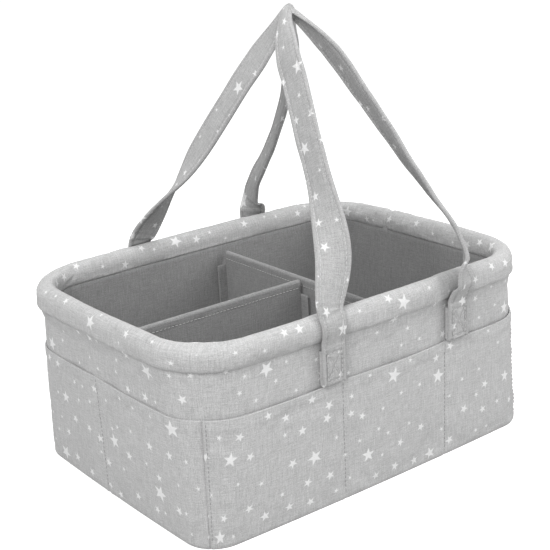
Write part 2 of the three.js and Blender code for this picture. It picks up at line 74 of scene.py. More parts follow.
# Seams: where the pockets are sewn down along each side, between its rounded corners
HANDLE_OFFSET = 15 * MM
HANDLE_REACH = 60 * MM
END_SEAM = 12 * MM
SEAMS = [
    [HANDLE_OFFSET - HANDLE_REACH, HANDLE_OFFSET + HANDLE_REACH],
    [END_SEAM],
    [-HANDLE_OFFSET - HANDLE_REACH, HANDLE_REACH - HANDLE_OFFSET],
    [-END_SEAM],
]

# Rim
RIM_HEIGHT = 24 * MM
RIM_WIDTH = 18 * MM
RIM_OVERHANG = 5.6 * MM
RIM_MIDDLE = BODY_HEIGHT - RIM_HEIGHT / 2
RIM_CENTRE = RIM_OVERHANG - RIM_WIDTH / 2
CREASE_Z = BODY_HEIGHT - RIM_HEIGHT

# Pockets
POCKET_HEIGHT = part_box("pocket_front")[1].z
POCKET_THICKNESS = 1.2 * MM
HEM_THICKNESS = 1.7 * MM
HEM_HEIGHT = 12 * MM

# Straps
STRAP_WIDTH = 30 * MM
STRAP_THICKNESS = 3 * MM
STRAP_SLIT = 0.4 * MM
FOOT_WIDTH = 24 * MM
FOOT_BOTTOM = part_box("front_strap_foot_left")[0].z
FOOT_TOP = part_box("front_strap_foot_left")[1].z

# A smooth field of bumps. A piece that is made more than once adds to the seed.
Bumps = namedtuple("Bumps", "seed size depth")


def smoothstep(value, low, high):
    share = np.clip((np.asarray(value, float) - low) / (high - low), 0, 1)
    return share * share * (3 - 2 * share)


def between(start, end, share):
    return start + (end - start) * share


def bell(value, width):
    return np.exp(-((value / width) ** 2))


def bump(field, u, v, more=0.0):
    """The field's height at a place, from -depth to depth"""
    return field.depth * noise.noise(Vector((u / field.size, v / field.size, field.seed + more)))


def bumps(field, u, v, more=0.0):
    u, v = np.broadcast_arrays(np.asarray(u, float), np.asarray(v, float))
    out = [bump(field, a, b, more) for a, b in zip(u.ravel(), v.ravel())]
    return np.array(out).reshape(u.shape)


# The wall's outside. A column is a place along the outline that a thread up the wall follows.
class Columns:
    """Columns of some sides, from corner to corner, against the clock from above"""

    def __init__(self, sides, corner_steps, straight_step, whole):
        turns = [math.pi / 4 * (1 - i / corner_steps) for i in range(corner_steps)]
        rows = []
        for side in sides:
            straight = (HALF_Y if side % 2 else HALF_X) - RIM_CORNER_RADIUS
            marks = [-math.inf, *SEAMS[side], math.inf]
            rows += [(side, -turn, *marks[:2], 0, False) for turn in turns]
            for stop, (low, high) in enumerate(zip(marks[:-1], marks[1:])):
                reach = min(high, straight) - max(low, -straight)
                steps = max(2, round(reach / straight_step))
                for i in range(min(stop, 1), steps + 1):
                    rows.append((side, 0, low, high, i / steps, i == steps and high < math.inf))
            rows += [(side, turn, *marks[:2], 0, False) for turn in reversed(turns)]
            if whole:
                rows.pop()
        self.side, self.turn, self.low, self.high, self.share, self.seam = np.array(rows, float).T
        self.whole = whole
        self.count = len(rows)
        places = self.points(POCKET_HEIGHT, 0.0)
        self.along = path_lengths(places)
        closing = np.linalg.norm(places[0] - places[-1]) if whole else 0
        self.length = self.along[-1] + closing

    def points(self, z, offset):
        """Points on the outline at height z, moved out of the wall by offset"""
        z, offset, _ = np.broadcast_arrays(z, offset, self.side)
        rise = z / BODY_HEIGHT
        radius = between(BASE_CORNER_RADIUS, RIM_CORNER_RADIUS, rise)
        long_side = self.side % 2 == 0
        out = np.where(long_side, HALF_Y, HALF_X) + FLARE * rise
        straight = np.where(long_side, HALF_X, HALF_Y) + FLARE * rise - radius
        bow = np.where(long_side, LONG_SIDE_BOW, SHORT_SIDE_BOW)
        low, high = np.maximum(self.low, -straight), np.minimum(self.high, straight)
        along = between(low, high, self.share)
        away = out + bow * (1 - (along / straight) ** 2)
        turned = self.turn != 0
        along = np.where(turned, np.sign(self.turn) * straight + radius * np.sin(self.turn), along)
        away = np.where(turned, out - radius + radius * np.cos(self.turn), away)
        facing = (self.side - 1) * math.pi / 2
        outward = np.stack([np.cos(facing), np.sin(facing)], 1)
        forward = np.stack([-outward[:, 1], outward[:, 0]], 1)
        place = outward * away[:, None] + forward * along[:, None] + self.normals() * offset[:, None]
        return np.column_stack([place, z])

    def normals(self):
        facing = (self.side - 1) * math.pi / 2 + self.turn
        return np.stack([np.cos(facing), np.sin(facing)], 1)

    def seam_places(self):
        ends = [] if self.whole else [0, self.count - 1]
        return sorted({*ends, *np.flatnonzero(self.seam)})

    def slack_shares(self):
        """0 at a seam, 1 half-way between two"""
        seams = self.along[self.seam_places()]
        index = np.clip(np.searchsorted(seams, self.along, side="right"), 1, len(seams) - 1)
        share = (self.along - seams[index - 1]) / (seams[index] - seams[index - 1])
        return 1 - (2 * share - 1) ** 2

    def seam_distance(self):
        seams = self.along[self.seam_places()]
        return np.abs(self.along[:, None] - seams[None, :]).min(1)


def long_wall_face(x, z):
    """The outside of the front or back wall at a place along it"""
    rise = z / BODY_HEIGHT
    straight = HALF_X + FLARE * rise - between(BASE_CORNER_RADIUS, RIM_CORNER_RADIUS, rise)
    return HALF_Y + FLARE * rise + LONG_SIDE_BOW * (1 - (x / straight) ** 2)


# Materials
class Value:
    """What a node gives, for arithmetic with numbers and with other values"""

    def __init__(self, nodes, socket):
        self.nodes, self.socket = nodes, socket

    def to(self, operation, *others):
        return self.nodes.math(operation, self, *others)

    def __add__(self, other):
        return self.to("ADD", other)

    def __sub__(self, other):
        return self.to("SUBTRACT", other)

    def __rsub__(self, other):
        return self.nodes.math("SUBTRACT", other, self)

    def __mul__(self, other):
        return self.to("MULTIPLY", other)

    def __truediv__(self, other):
        return self.to("DIVIDE", other)

    def __gt__(self, other):
        return self.to("GREATER_THAN", other)


class Nodes:
    """The node tree of a material or a world"""

    def __init__(self, owner, shader="Principled BSDF"):
        owner.use_nodes = True
        self.owner, self.tree = owner, owner.node_tree
        self.shader = self.tree.nodes[shader]

    def feed(self, socket, value):
        value = value.socket if isinstance(value, Value) else value
        if isinstance(value, bpy.types.NodeSocket):
            self.tree.links.new(value, socket)
        else:
            socket.default_value = value

    def node(self, kind, fed=(), **settings):
        """What a new node gives. fed holds its inputs, in order or by name."""
        made = self.tree.nodes.new(kind)
        for key, value in settings.items():
            setattr(made, key, value)
        for key, value in fed.items() if isinstance(fed, dict) else enumerate(fed):
            self.feed(made.inputs[key], value)
        return made.outputs

    def value(self, kind, fed=(), output=0, **settings):
        return Value(self, self.node(kind, fed, **settings)[output])

    def math(self, operation, *fed):
        return self.value("ShaderNodeMath", fed, operation=operation)

    def combine(self, x, y, z=0.0):
        return self.value("ShaderNodeCombineXYZ", (x, y, z))

    def split(self, vector):
        return [Value(self, socket) for socket in self.node("ShaderNodeSeparateXYZ", [vector])]

    def noise(self, vector, scale=1.0, detail=2.0, rough=0.5):
        fed = {"Vector": vector, "Scale": scale, "Detail": detail, "Roughness": rough}
        return self.value("ShaderNodeTexNoise", fed, "Fac")

    def white(self, x, y, seed):
        """Three random numbers, the same all over a cell"""
        fed = {"Vector": self.combine(x, y, seed)}
        return self.split(self.value("ShaderNodeTexWhiteNoise", fed, "Color", noise_dimensions="3D"))

    def mix(self, share, a, b):
        fed = {"Factor": share, "A": a, "B": b}
        return self.value("ShaderNodeMix", fed, "Result", data_type="RGBA")

    def cloth_place(self):
        """Place on the cloth in millimetres: across and up"""
        x, y, _ = self.split(self.value("ShaderNodeUVMap", uv_map="cloth"))
        return x * (1 / MM), y * (1 / MM)

    def seen(self):
        """1 for what the camera sees, straight or in a gloss"""
        path = self.node("ShaderNodeLightPath")
        return self.math("MAXIMUM", path["Is Camera Ray"], path["Is Glossy Ray"])

    def surface(self, fed, **pressed):
        """Feeds the shader and presses a height into the surface"""
        if pressed:
            fed = {**fed, "Normal": self.value("ShaderNodeBump", pressed)}
        for key, value in fed.items():
            self.feed(self.shader.inputs[key], value)
        return self.owner


# Star print, in millimetres: one star at most in each cell of a staggered grid. A step is the
# share of cells that it leaves out, and what it adds to the radius.
STAR_CELL = 22.5
STAR_STEPS = [(0.06, 2.2), (0.62, 2.0)]
LARGE_STAR = 7.1
LARGE_EVERY = 10.0
LARGE_ROW_SHIFT = 3.0
STAR_SIZE_SHARES = (0.88, 0.24)
STAR_KIND_SEED = 11.3
STAR_NOTCH = 0.42
STAR_ARM = math.pi / 5
STAR_SOFT = 0.45
CELL_ROOM = 0.49


def star_mask(nodes, x, y, seed):
    """1 inside a printed star, 0 outside"""
    row = (y / STAR_CELL).to("FLOOR")
    across = x / STAR_CELL + row.to("FLOORED_MODULO", 2.0) * 0.5
    column = across.to("FLOOR")
    cell_x = (across - column - 0.5) * STAR_CELL
    cell_y = y - row * STAR_CELL - STAR_CELL / 2
    place = nodes.white(column, row, seed)
    kind = nodes.white(column, row, seed + STAR_KIND_SEED)
    # The large stars stand in every tenth cell, so that no two of them are neighbours
    order = (column + row * LARGE_ROW_SHIFT).to("FLOORED_MODULO", LARGE_EVERY)
    large = order.to("LESS_THAN", 0.5)
    (first, small), (second, more) = STAR_STEPS
    radius = (kind[0] > first) * small + (kind[0] > second) * more
    radius = radius * (1.0 - large) + large * LARGE_STAR
    radius = radius * (kind[1] * STAR_SIZE_SHARES[1] + STAR_SIZE_SHARES[0])
    room = STAR_CELL * CELL_ROOM - radius
    px = cell_x - (place[0] - 0.5) * 2.0 * room
    py = cell_y - (place[1] - 0.5) * 2.0 * room
    angle = py.to("ARCTAN2", px) + place[2] * (2 * math.pi)
    fold = (angle + STAR_ARM).to("FLOORED_MODULO", 2 * STAR_ARM)
    arm = (fold - STAR_ARM).to("ABSOLUTE")
    reach = (px * px + py * py).to("SQRT")
    edge = Vector((STAR_NOTCH * math.sin(STAR_ARM), 1 - STAR_NOTCH * math.cos(STAR_ARM))).normalized()
    near = reach * arm.to("COSINE") - radius
    depth = near * edge.x + reach * arm.to("SINE") * edge.y
    edges = (depth, STAR_SOFT, -STAR_SOFT)
    inside = nodes.value("ShaderNodeMapRange", edges, interpolation_type="SMOOTHSTEP")
    return inside * large.to("MAXIMUM", kind[0] > first)


# Weave, in millimetres: the threads' pitch, the yarns' length and thickness, and how much each adds
THREAD_PITCH = 0.62
YARNS = [(5.0, 0.45), (0.45, 5.0), (14.0, 1.1), (1.1, 14.0)]
YARN_ROUGH = 0.6
YARN_SHARE = 0.48
BLOTCH_SIZE = 30.0
BLOTCH_SHARE = 0.12
SPECK_SIZE = 0.9
SPECK_SEED = 5.0
SPECK_SHARE = 0.7

# How the cloth takes the ink, how far ink and yarns stand up, and how deep the weave is
INK_COVER = 0.97
INK_GAPS = 1.2
INK_HEIGHT = 0.4
YARN_HEIGHT = 3.0
WEAVE_DEPTH = 0.12 * MM
WEAVE_STRENGTH = 0.6
COTTON = {"Roughness": 0.92, "Sheen Weight": 0.12, "Sheen Roughness": 0.6, "Specular IOR Level": 0.2}
BOARD_DEPTH = 0.2 * MM
BOARD_SHADES = (0.8, 1.2)
BOARD_DETAIL = 4.0
BOARD_ROUGH = 0.7


def heather(nodes, x, y):
    """Uneven yarns both ways, about 0"""
    fine = []
    for across, up in YARNS:
        fine.append(nodes.noise(nodes.combine(x / across, y / up, across), rough=YARN_ROUGH) - 0.5)
    yarns = fine[0] + fine[1] + fine[2] + fine[3]
    blotch = nodes.noise(nodes.combine(x / BLOTCH_SIZE, y / BLOTCH_SIZE), detail=3.0) - 0.5
    specks = nodes.noise(nodes.combine(x / SPECK_SIZE, y / SPECK_SIZE, SPECK_SEED), detail=1.0) - 0.5
    return yarns * YARN_SHARE + blotch * BLOTCH_SHARE + specks * SPECK_SHARE


def grey(level):
    return (level, level, level)


INK = grey(0.80)


def cotton(name, colour, star_seed=None):
    """Plain weave in uneven yarns, with printed stars where there is a seed for them"""
    nodes = Nodes(bpy.data.materials.new(name))
    x, y = nodes.cloth_place()
    uneven = heather(nodes, x, y)
    ground = {0: colour, "Scale": uneven + 1.0}
    shade = nodes.value("ShaderNodeVectorMath", ground, operation="SCALE")
    step = math.pi / THREAD_PITCH
    height = (x * step).to("SINE") * (y * step).to("SINE")
    if star_seed:
        mask = star_mask(nodes, x, y, star_seed)
        cover = mask * (INK_COVER - (uneven * INK_GAPS).to("ABSOLUTE"))
        shade = nodes.mix(cover, shade, (*INK, 1.0))
        height = height + mask * INK_HEIGHT
    height = height + uneven * YARN_HEIGHT
    return nodes.surface({**COTTON, "Base Color": shade}, Height=height, Distance=WEAVE_DEPTH,
                         Strength=WEAVE_STRENGTH)


def board(name, colour, grain, roughness):
    """Felt, thread or pressed board, by place in the object"""
    nodes = Nodes(bpy.data.materials.new(name))
    place = nodes.value("ShaderNodeTexCoord", output="Object")
    speck = nodes.noise(place, grain, BOARD_DETAIL, BOARD_ROUGH)
    dark, pale = ((*(min(1, c * more) for c in colour), 1) for more in BOARD_SHADES)
    looks = {"Base Color": nodes.mix(speck, dark, pale), "Roughness": roughness}
    return nodes.surface(looks, Height=speck, Distance=BOARD_DEPTH)


PRINT = cotton("printed_cotton", grey(0.475), 3.0)
STRAP = cotton("strap_cotton", grey(0.41), 8.0)
INSIDE = cotton("lining_cotton", grey(0.27))
THREAD = board("thread", grey(0.58), 2500, 0.8)
SEAM_THREAD = board("seam_thread", grey(0.3), 2500, 0.8)
FELT = board("felt_board", grey(0.28), 900, 1.0)
CARD = board("base_card", (0.17, 0.13, 0.09), 400, 0.8)
LOOPS = board("tape_nylon", grey(0.32), 1500, 0.75)


# Meshes
def signed_volume(points, faces):
    total = 0.0
    for face in faces:
        a = points[face[0]]
        for b, c in zip(face[1:-1], face[2:]):
            total += float(np.dot(a, np.cross(points[b], points[c])))
    return total


def add_mesh(name, points, faces, uvs, material, body, turn=True):
    """Closed forms that ride on a body, with their place on the cloth as UVs. Unless turn is
    false, inward faces are turned outward."""
    points = np.asarray(points, float)
    if turn and signed_volume(points - points.mean(0), faces) < 0:
        faces = [tuple(reversed(face)) for face in faces]
        uvs = [tuple(reversed(corner)) for corner in uvs] if uvs is not None else None
    mesh = bpy.data.meshes.new(name)
    mesh.from_pydata([tuple(p) for p in points], [], faces)
    if uvs is not None:
        layer = mesh.uv_layers.new(name="cloth")
        layer.data.foreach_set("uv", np.concatenate([np.asarray(u, float).ravel() for u in uvs]))
    mesh.polygons.foreach_set("use_smooth", [True] * len(mesh.polygons))
    mesh.materials.append(material)
    mesh.update()
    piece = bpy.data.objects.new(name, mesh)
    bpy.context.scene.collection.objects.link(piece)
    if body:
        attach(piece, body)
    return piece


def ring_faces(rings, count, closed):
    """Quads between neighbouring rings of the same number of points, with caps where open"""
    faces, corners = [], []
    for i in range(rings if closed else rings - 1):
        here, there = i * count, ((i + 1) % rings) * count
        for j in range(count):
            k = (j + 1) % count
            faces.append((here + j, there + j, there + k, here + k))
            corners.append(((i, j), (i + 1, j), (i + 1, j + 1), (i, j + 1)))
    if not closed:
        last = (rings - 1) * count
        faces.append(tuple(range(count)))
        corners.append(tuple((0, j) for j in range(count)))
        faces.append(tuple(last + j for j in reversed(range(count))))
        corners.append(tuple((rings - 1, j) for j in reversed(range(count))))
    return faces, corners


def tube(name, rings, uv, closed, material, body):
    """A solid from rings of points. uv has one more column than the rings, and one more row if closed."""
    rings = np.asarray(rings, float)
    faces, corners = ring_faces(rings.shape[0], rings.shape[1], closed)
    uvs = [tuple(tuple(uv[i][j]) for i, j in corner) for corner in corners]
    return add_mesh(name, rings.reshape(-1, 3), faces, uvs, material, body)


def section_lengths(rings):
    """How far round its section each point lies, closing point included"""
    steps = np.linalg.norm(np.roll(rings, -1, axis=1) - rings, axis=2)
    return np.concatenate([np.zeros((len(rings), 1)), np.cumsum(steps, axis=1)], axis=1)


def path_lengths(places):
    """How far along a path each place lies"""
    return np.concatenate([[0], np.cumsum(np.linalg.norm(np.diff(places, axis=0), axis=1))])


def section_rings(columns, section):
    """A section is a list of (offset, z) pairs, one for each point round"""
    return np.stack([columns.points(z, offset) for offset, z in section], axis=1)


def band(name, columns, section, material, start=0.0, uv_shift=0.0, moved=0.0):
    """A band along the wall, with its points moved by what the cloth simulation gave"""
    rings = section_rings(columns, section)
    lengths = section_lengths(rings) + start
    along = np.concatenate([columns.along, [columns.length]]) + uv_shift
    if columns.whole:
        lengths = np.concatenate([lengths, lengths[:1]])
    uv = [[(along[i], length) for length in row] for i, row in enumerate(lengths)]
    return tube(name, rings + moved, uv, columns.whole, material, "caddy")


# Cloth simulation: a grid of cloth settles between the points that its seams hold
SETTLE_FRAMES = 18
SETTLE_CLOTH = {
    "quality": 6,
    "mass": 0.12,
    "tension_stiffness": 25,
    "compression_stiffness": 12,
    "shear_stiffness": 8,
    "bending_stiffness": 0.2,
    "vertex_group_mass": "held",
    "use_pressure": True,
}
SMALLEST_MOVE = 1e-9
# How much the cloth grows, its pressure, and the cap on its moves
Settling = namedtuple("Settling", "growth pressure cap")
WALL_SETTLING = Settling(0.006, 0.5, 0.5 * MM)
ROLL_SETTLING = Settling(0.015, 1.5, 1.2 * MM)
POCKET_SETTLING = [Settling(0.01, 0.6, cap * MM) for cap in (0.9, 0.5, 0.9, 0.5)]


def settle(rings, closed, held, settling):
    """How far each point of the grid moves, at most the cap"""
    rows, count = rings.shape[:2]
    faces = []
    for i in range(rows if closed else rows - 1):
        here, there = i * count, ((i + 1) % rows) * count
        faces += [(here + j, there + j, there + j + 1, here + j + 1) for j in range(count - 1)]
    mesh = bpy.data.meshes.new("settling")
    mesh.from_pydata([tuple(p) for p in rings.reshape(-1, 3)], [], faces)
    mesh.update()
    cloth = bpy.data.objects.new("settling", mesh)
    scene = bpy.context.scene
    scene.collection.objects.link(cloth)
    group = cloth.vertex_groups.new(name="held")
    group.add([int(i) for i in np.flatnonzero(np.broadcast_to(held, (rows, count)))], 1.0, "REPLACE")
    modifier = cloth.modifiers.new("cloth", "CLOTH")
    modifier.point_cache.frame_start = 1
    modifier.point_cache.frame_end = SETTLE_FRAMES
    for key, value in SETTLE_CLOTH.items():
        setattr(modifier.settings, key, value)
    modifier.settings.shrink_min = -settling.growth
    modifier.settings.uniform_pressure_force = settling.pressure
    modifier.settings.effector_weights.gravity = 0.0
    for number in range(1, SETTLE_FRAMES + 1):
        scene.frame_set(number)
    settled = cloth.evaluated_get(bpy.context.evaluated_depsgraph_get()).data
    after = np.empty(rings.size)
    settled.vertices.foreach_get("co", after)
    bpy.data.objects.remove(cloth)
    bpy.data.meshes.remove(mesh)
    scene.frame_set(1)
    moved = np.nan_to_num(after.reshape(rings.shape) - rings)
    size = np.linalg.norm(moved, axis=2, keepdims=True)
    cap = settling.cap
    return moved * cap * np.tanh(size / cap) / np.maximum(size, SMALLEST_MOVE)


# Thread: each stitch is a short rounded stroke that dips into the cloth at both ends. The shares
# are places along it, with its thickness there and how far it stands out.
STITCH_LENGTH = 3.0 * MM
STITCH_PITCH = 4.0 * MM
STITCH_RADIUS = 0.32 * MM
STITCH_SIDES = 6
STITCH_SHARES = [(0.0, 0.35, -1.1), (0.12, 0.85, -0.1), (0.35, 1.0, 0.35), (0.65, 1.0, 0.35),
                 (0.88, 0.85, -0.1), (1.0, 0.35, -1.1)]
STITCH_RINGS = ring_faces(len(STITCH_SHARES), STITCH_SIDES, False)[0]
STITCH_FACES = [(face[0], *reversed(face[1:])) for face in STITCH_RINGS]


class Stitches:
    """Rows of stitches that become one piece"""

    def __init__(self):
        self.points, self.faces = [], []

    def stitch(self, start, end, out):
        run = end - start
        beside = np.cross(run, out)
        beside /= np.linalg.norm(beside)
        first = len(self.points)
        for share, thick, lift in STITCH_SHARES:
            middle = start + run * share + out * STITCH_RADIUS * lift
            for i in range(STITCH_SIDES):
                angle = 2 * math.pi * i / STITCH_SIDES
                around = beside * math.cos(angle) + out * math.sin(angle)
                self.points.append(middle + around * STITCH_RADIUS * thick)
        self.faces += [tuple(first + i for i in face) for face in STITCH_FACES]

    def row(self, path, outs):
        """Stitches along a path of points, each with its direction out of the cloth"""
        path, outs = np.asarray(path, float), np.asarray(outs, float)
        places = path_lengths(path)
        count = int(places[-1] / STITCH_PITCH)
        spare = (places[-1] - count * STITCH_PITCH) / 2

        def at(values, length):
            return np.array([np.interp(length, places, values[:, k]) for k in range(3)])

        for i in range(count):
            begin = spare + i * STITCH_PITCH + (STITCH_PITCH - STITCH_LENGTH) / 2
            end = begin + STITCH_LENGTH
            out = at(outs, begin) + at(outs, end)
            self.stitch(at(path, begin), at(path, end), out / np.linalg.norm(out))

    def finish(self, name, body, thread):
        return add_mesh(name, self.points, self.faces, None, thread, body, turn=False)


# Outer wall and rim
WALL_FOOT = UNDERSIDE_TOP + CLEARANCE
COVE_HEIGHT = 17 * MM
COVE_OFFSET = 4.6 * MM
COVE_LOW = CREASE_Z - COVE_HEIGHT
COVE_HIGH = CREASE_Z + 6 * MM
COVE_POWER = 1.5
WALL_TUCK = 3 * MM
WALL_RIPPLE = Bumps(7.0, 40 * MM, 0.5 * MM)
RIPPLE_RUN = 20 * MM
UNDER_STRAP_SHARE = 0.15
WALL_HELD_BELOW = POCKET_HEIGHT - 10 * MM
WALL_HELD_ABOVE = CREASE_Z - 1 * MM
RING = Columns(ALL_SIDES, 16, 3.4 * MM, True)
LEG_MIDDLE = HANDLE_REACH + FOOT_WIDTH / 2
LEG_PLACES = (HANDLE_OFFSET - LEG_MIDDLE, HANDLE_OFFSET + LEG_MIDDLE)
STRAP_NEAR = 13 * MM
STRAP_FAR = 24 * MM

# The sewn crease under the roll shows from here on: to the front, and more to the left
CREASE_FRONT = (40 * MM, 130 * MM)
CREASE_LEFT = (LEG_PLACES[0] - 20 * MM, LEG_PLACES[0] + 45 * MM)
CREASE_SHARES = (0.25, 0.7)
CREASE_BUMPS = Bumps(4.0, 60 * MM, 0.3)


def crease_softness(columns):
    """1 where the roll runs smoothly into the wall, 0 where a sewn crease shows"""
    places = columns.points(CREASE_Z, 0.0)
    toward_front = smoothstep(-places[:, 1], *CREASE_FRONT)
    toward_left = 1 - smoothstep(places[:, 0], *CREASE_LEFT)
    shown = toward_front * (CREASE_SHARES[0] + CREASE_SHARES[1] * toward_left)
    return np.clip(1 - shown + bumps(CREASE_BUMPS, columns.along, 0.0), 0, 1)


def clear_of_straps(columns):
    """0 where a strap lies on the wall or the roll, 1 away from it"""
    places = columns.points(RIM_MIDDLE, 0.0)
    near = np.abs(places[:, :1] - np.array(LEG_PLACES)).min(1)
    return np.where(columns.side % 2 == 1, 1.0, smoothstep(near, STRAP_NEAR, STRAP_FAR))


SOFT = crease_softness(RING)
CLEAR = clear_of_straps(RING)


def wall_cloth():
    hem = POCKET_HEIGHT - HEM_HEIGHT
    heights = np.concatenate([np.linspace(WALL_FOOT, hem, 12), np.linspace(hem, COVE_LOW, 8)[1:],
                              np.linspace(COVE_LOW, CREASE_Z + WALL_TUCK, 12)[1:]])
    section = []
    for z in heights:
        cove = COVE_OFFSET * SOFT * smoothstep(z, COVE_LOW, COVE_HIGH) ** COVE_POWER
        ripple = bumps(WALL_RIPPLE, RING.along, z) + WALL_RIPPLE.depth / 2
        fade = smoothstep(z, POCKET_HEIGHT - RIPPLE_RUN, POCKET_HEIGHT)
        loose = between(UNDER_STRAP_SHARE, 1, CLEAR)
        section.append(((cove + np.maximum(ripple, 0) * fade) * loose, z))
    count = len(section)
    held = (heights < WALL_HELD_BELOW) | (heights > WALL_HELD_ABOVE) | (CLEAR[:, None] < 0.5)
    moved = settle(section_rings(RING, section), True, held, WALL_SETTLING)
    section += [(-FABRIC, z) for z in (heights[-1], WALL_FOOT)]
    whole = np.zeros((RING.count, len(section), 3))
    whole[:, :count] = moved * CLEAR[:, None, None]
    piece = band("outer_wall_cloth", RING, section, PRINT, WALL_FOOT, moved=whole)
    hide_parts("outer_wall")


# The roll's section starts at the crease outside and ends at the one inside
ROLL_STEPS = 34
CREASE_OUTSIDE = math.radians(22)
CREASE_INSIDE = math.radians(53)
ROLL_SQUARENESS = 0.9
ROLL_SWELL = Bumps(11.0, 50 * MM, 0.6 * MM)
ROLL_SWELL_SHARE = 0.3
ROLL_SAG = Bumps(17.0, 70 * MM, 0.28 * MM)
ROLL_PUCKER = Bumps(23.0, 6 * MM, 0.35 * MM)
PUCKER_ROUND = 8 * MM
PUCKER_SHARES = (0.26, 0.48)
SOFT_PUCKER_SHARE = 0.7
RUN_OUT_SHARE = 0.8
JOIN_Y = 48 * MM
JOIN_HALF = 2.4 * MM
JOIN_DEPTH = 1.9 * MM
JOIN_HELD = 0.8


def rim_roll():
    """The padded roll, from the crease outside over the top to the crease inside"""
    places = RING.points(RIM_MIDDLE, 0.0)
    from_join = np.where(RING.side == RIGHT, np.abs(places[:, 1] - JOIN_Y), 1.0)
    join = bell(from_join - from_join.min(), JOIN_HALF)
    swell = bumps(ROLL_SWELL, RING.along, 0.0) * between(ROLL_SWELL_SHARE, 1, CLEAR)
    half_wide = RIM_WIDTH / 2 + swell - JOIN_DEPTH * join
    half_tall = RIM_HEIGHT / 2 + bumps(ROLL_SAG, RING.along, 0.0) - JOIN_DEPTH * join
    section = []
    for i in range(ROLL_STEPS + 1):
        share = i / ROLL_STEPS
        angle = CREASE_OUTSIDE - math.pi / 2 + (2 * math.pi - CREASE_OUTSIDE - CREASE_INSIDE) * share
        wide = half_wide * math.copysign(abs(math.cos(angle)) ** ROLL_SQUARENESS, math.cos(angle))
        # The lower outside runs out into the wall where the crease is soft
        low = smoothstep(-math.sin(angle), 0.1, 1.0) * (math.cos(angle) > 0)
        run_out = low * SOFT * COVE_OFFSET * RUN_OUT_SHARE * CLEAR
        pucker = bumps(ROLL_PUCKER, RING.along, angle * PUCKER_ROUND)
        near_crease = smoothstep(abs(share - 0.5), *PUCKER_SHARES)
        pucker = pucker * near_crease * (1 - SOFT * SOFT_PUCKER_SHARE) * CLEAR
        section.append((RIM_CENTRE + wide + run_out + pucker, RIM_MIDDLE + half_tall * math.sin(angle)))
    grid = section_rings(RING, section)
    ends = np.isin(np.arange(ROLL_STEPS + 1), [0, 1, ROLL_STEPS - 1, ROLL_STEPS])
    moved = settle(grid, True, ends[None, :] | (join[:, None] > JOIN_HELD), ROLL_SETTLING)
    moved *= CLEAR[:, None, None]
    piece = band("rim_roll", RING, section, PRINT, CREASE_Z, moved=moved)
    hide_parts("rim_binding", "rim_padding")

    # The roll's own ends are joined on the right side
    row = (grid + moved)[int(np.argmin(from_join))]
    outs = row - row.mean(0)
    outs[:, 1] = 0
    stitches = Stitches()
    stitches.row(row[2:-2], (outs / np.linalg.norm(outs, axis=1)[:, None])[2:-2])
    stitches.finish("rim_join_stitching", "caddy", SEAM_THREAD)


wall_cloth()
rim_roll()


# Pockets: how far each stands off the wall at its mouth, and how it lies there
MOUTH_SLACKS = [2.0 * MM, 0.7 * MM, 2.0 * MM, 0.7 * MM]
LEAN_POWER = 1.2
SLACK_POWER = 0.8
POCKET_SEED_STEP = 7.0
POCKET_DRAPE = Bumps(31.0, 38 * MM, 0.6 * MM)
DRAPE_FROM = 30 * MM
SEAM_RIPPLE = Bumps(34.0, 5 * MM, 0.5 * MM)
RIPPLE_STRETCH = 0.4
RIPPLE_NEAR = 2 * MM
RIPPLE_FAR = 16 * MM
GROOVE_DEPTH = 0.7 * MM
GROOVE_HALF = 3.2 * MM
RIDGE_HEIGHT = 0.35 * MM
RIDGE_PLACE = 4 * MM
RIDGE_HALF = 1.8 * MM
HEM_FLAT_SHARE = 0.75
DEEPEST_DIP = -0.5 * MM
MOUTH_DROOP = 0.8 * MM
FOOT_TUCK = 0.9 * MM
FOOT_TUCK_RUN = 2 * MM
HEM_ROUND = 5
HEM_FULL_SHARE = 0.7
HEM_HELD_SHARE = 0.5
POCKET_FOOT = (0.0, 0.6 * MM, 1.6 * MM)
POCKET_ROWS_FROM = 4 * MM
POCKET_ROWS = 40
POCKET_HELD = 3 * MM
SEAM_HELD = 2 * MM
PRINT_SHIFT = 0.437
THREAD_LIFT = 0.1 * MM


def pocket_offset(columns, z, side):
    """How far the pocket's inner face stands off the wall"""
    lean = (z / POCKET_HEIGHT) ** LEAN_POWER
    shares = columns.slack_shares() ** SLACK_POWER
    beside = columns.seam_distance()
    more = side * POCKET_SEED_STEP
    drape = bumps(POCKET_DRAPE, columns.along, z, more) * smoothstep(z, DRAPE_FROM, POCKET_HEIGHT)
    groove = GROOVE_DEPTH * (1 - smoothstep(beside, 0, GROOVE_HALF))
    ridge = RIDGE_HEIGHT * bell(beside - RIDGE_PLACE, RIDGE_HALF)
    ripple = bumps(SEAM_RIPPLE, columns.along * RIPPLE_STRETCH, z, more)
    ripple = ripple * (1 - smoothstep(beside, RIPPLE_NEAR, RIPPLE_FAR))
    flat = 1 - HEM_FLAT_SHARE * smoothstep(z, POCKET_HEIGHT - HEM_HEIGHT, POCKET_HEIGHT)
    slack = MOUTH_SLACKS[side]
    fine = (ridge + ripple) * flat + drape * shares * slack / MOUTH_SLACKS[FRONT] - groove
    return CLEARANCE + slack * lean * shares + np.maximum(fine, DEEPEST_DIP)


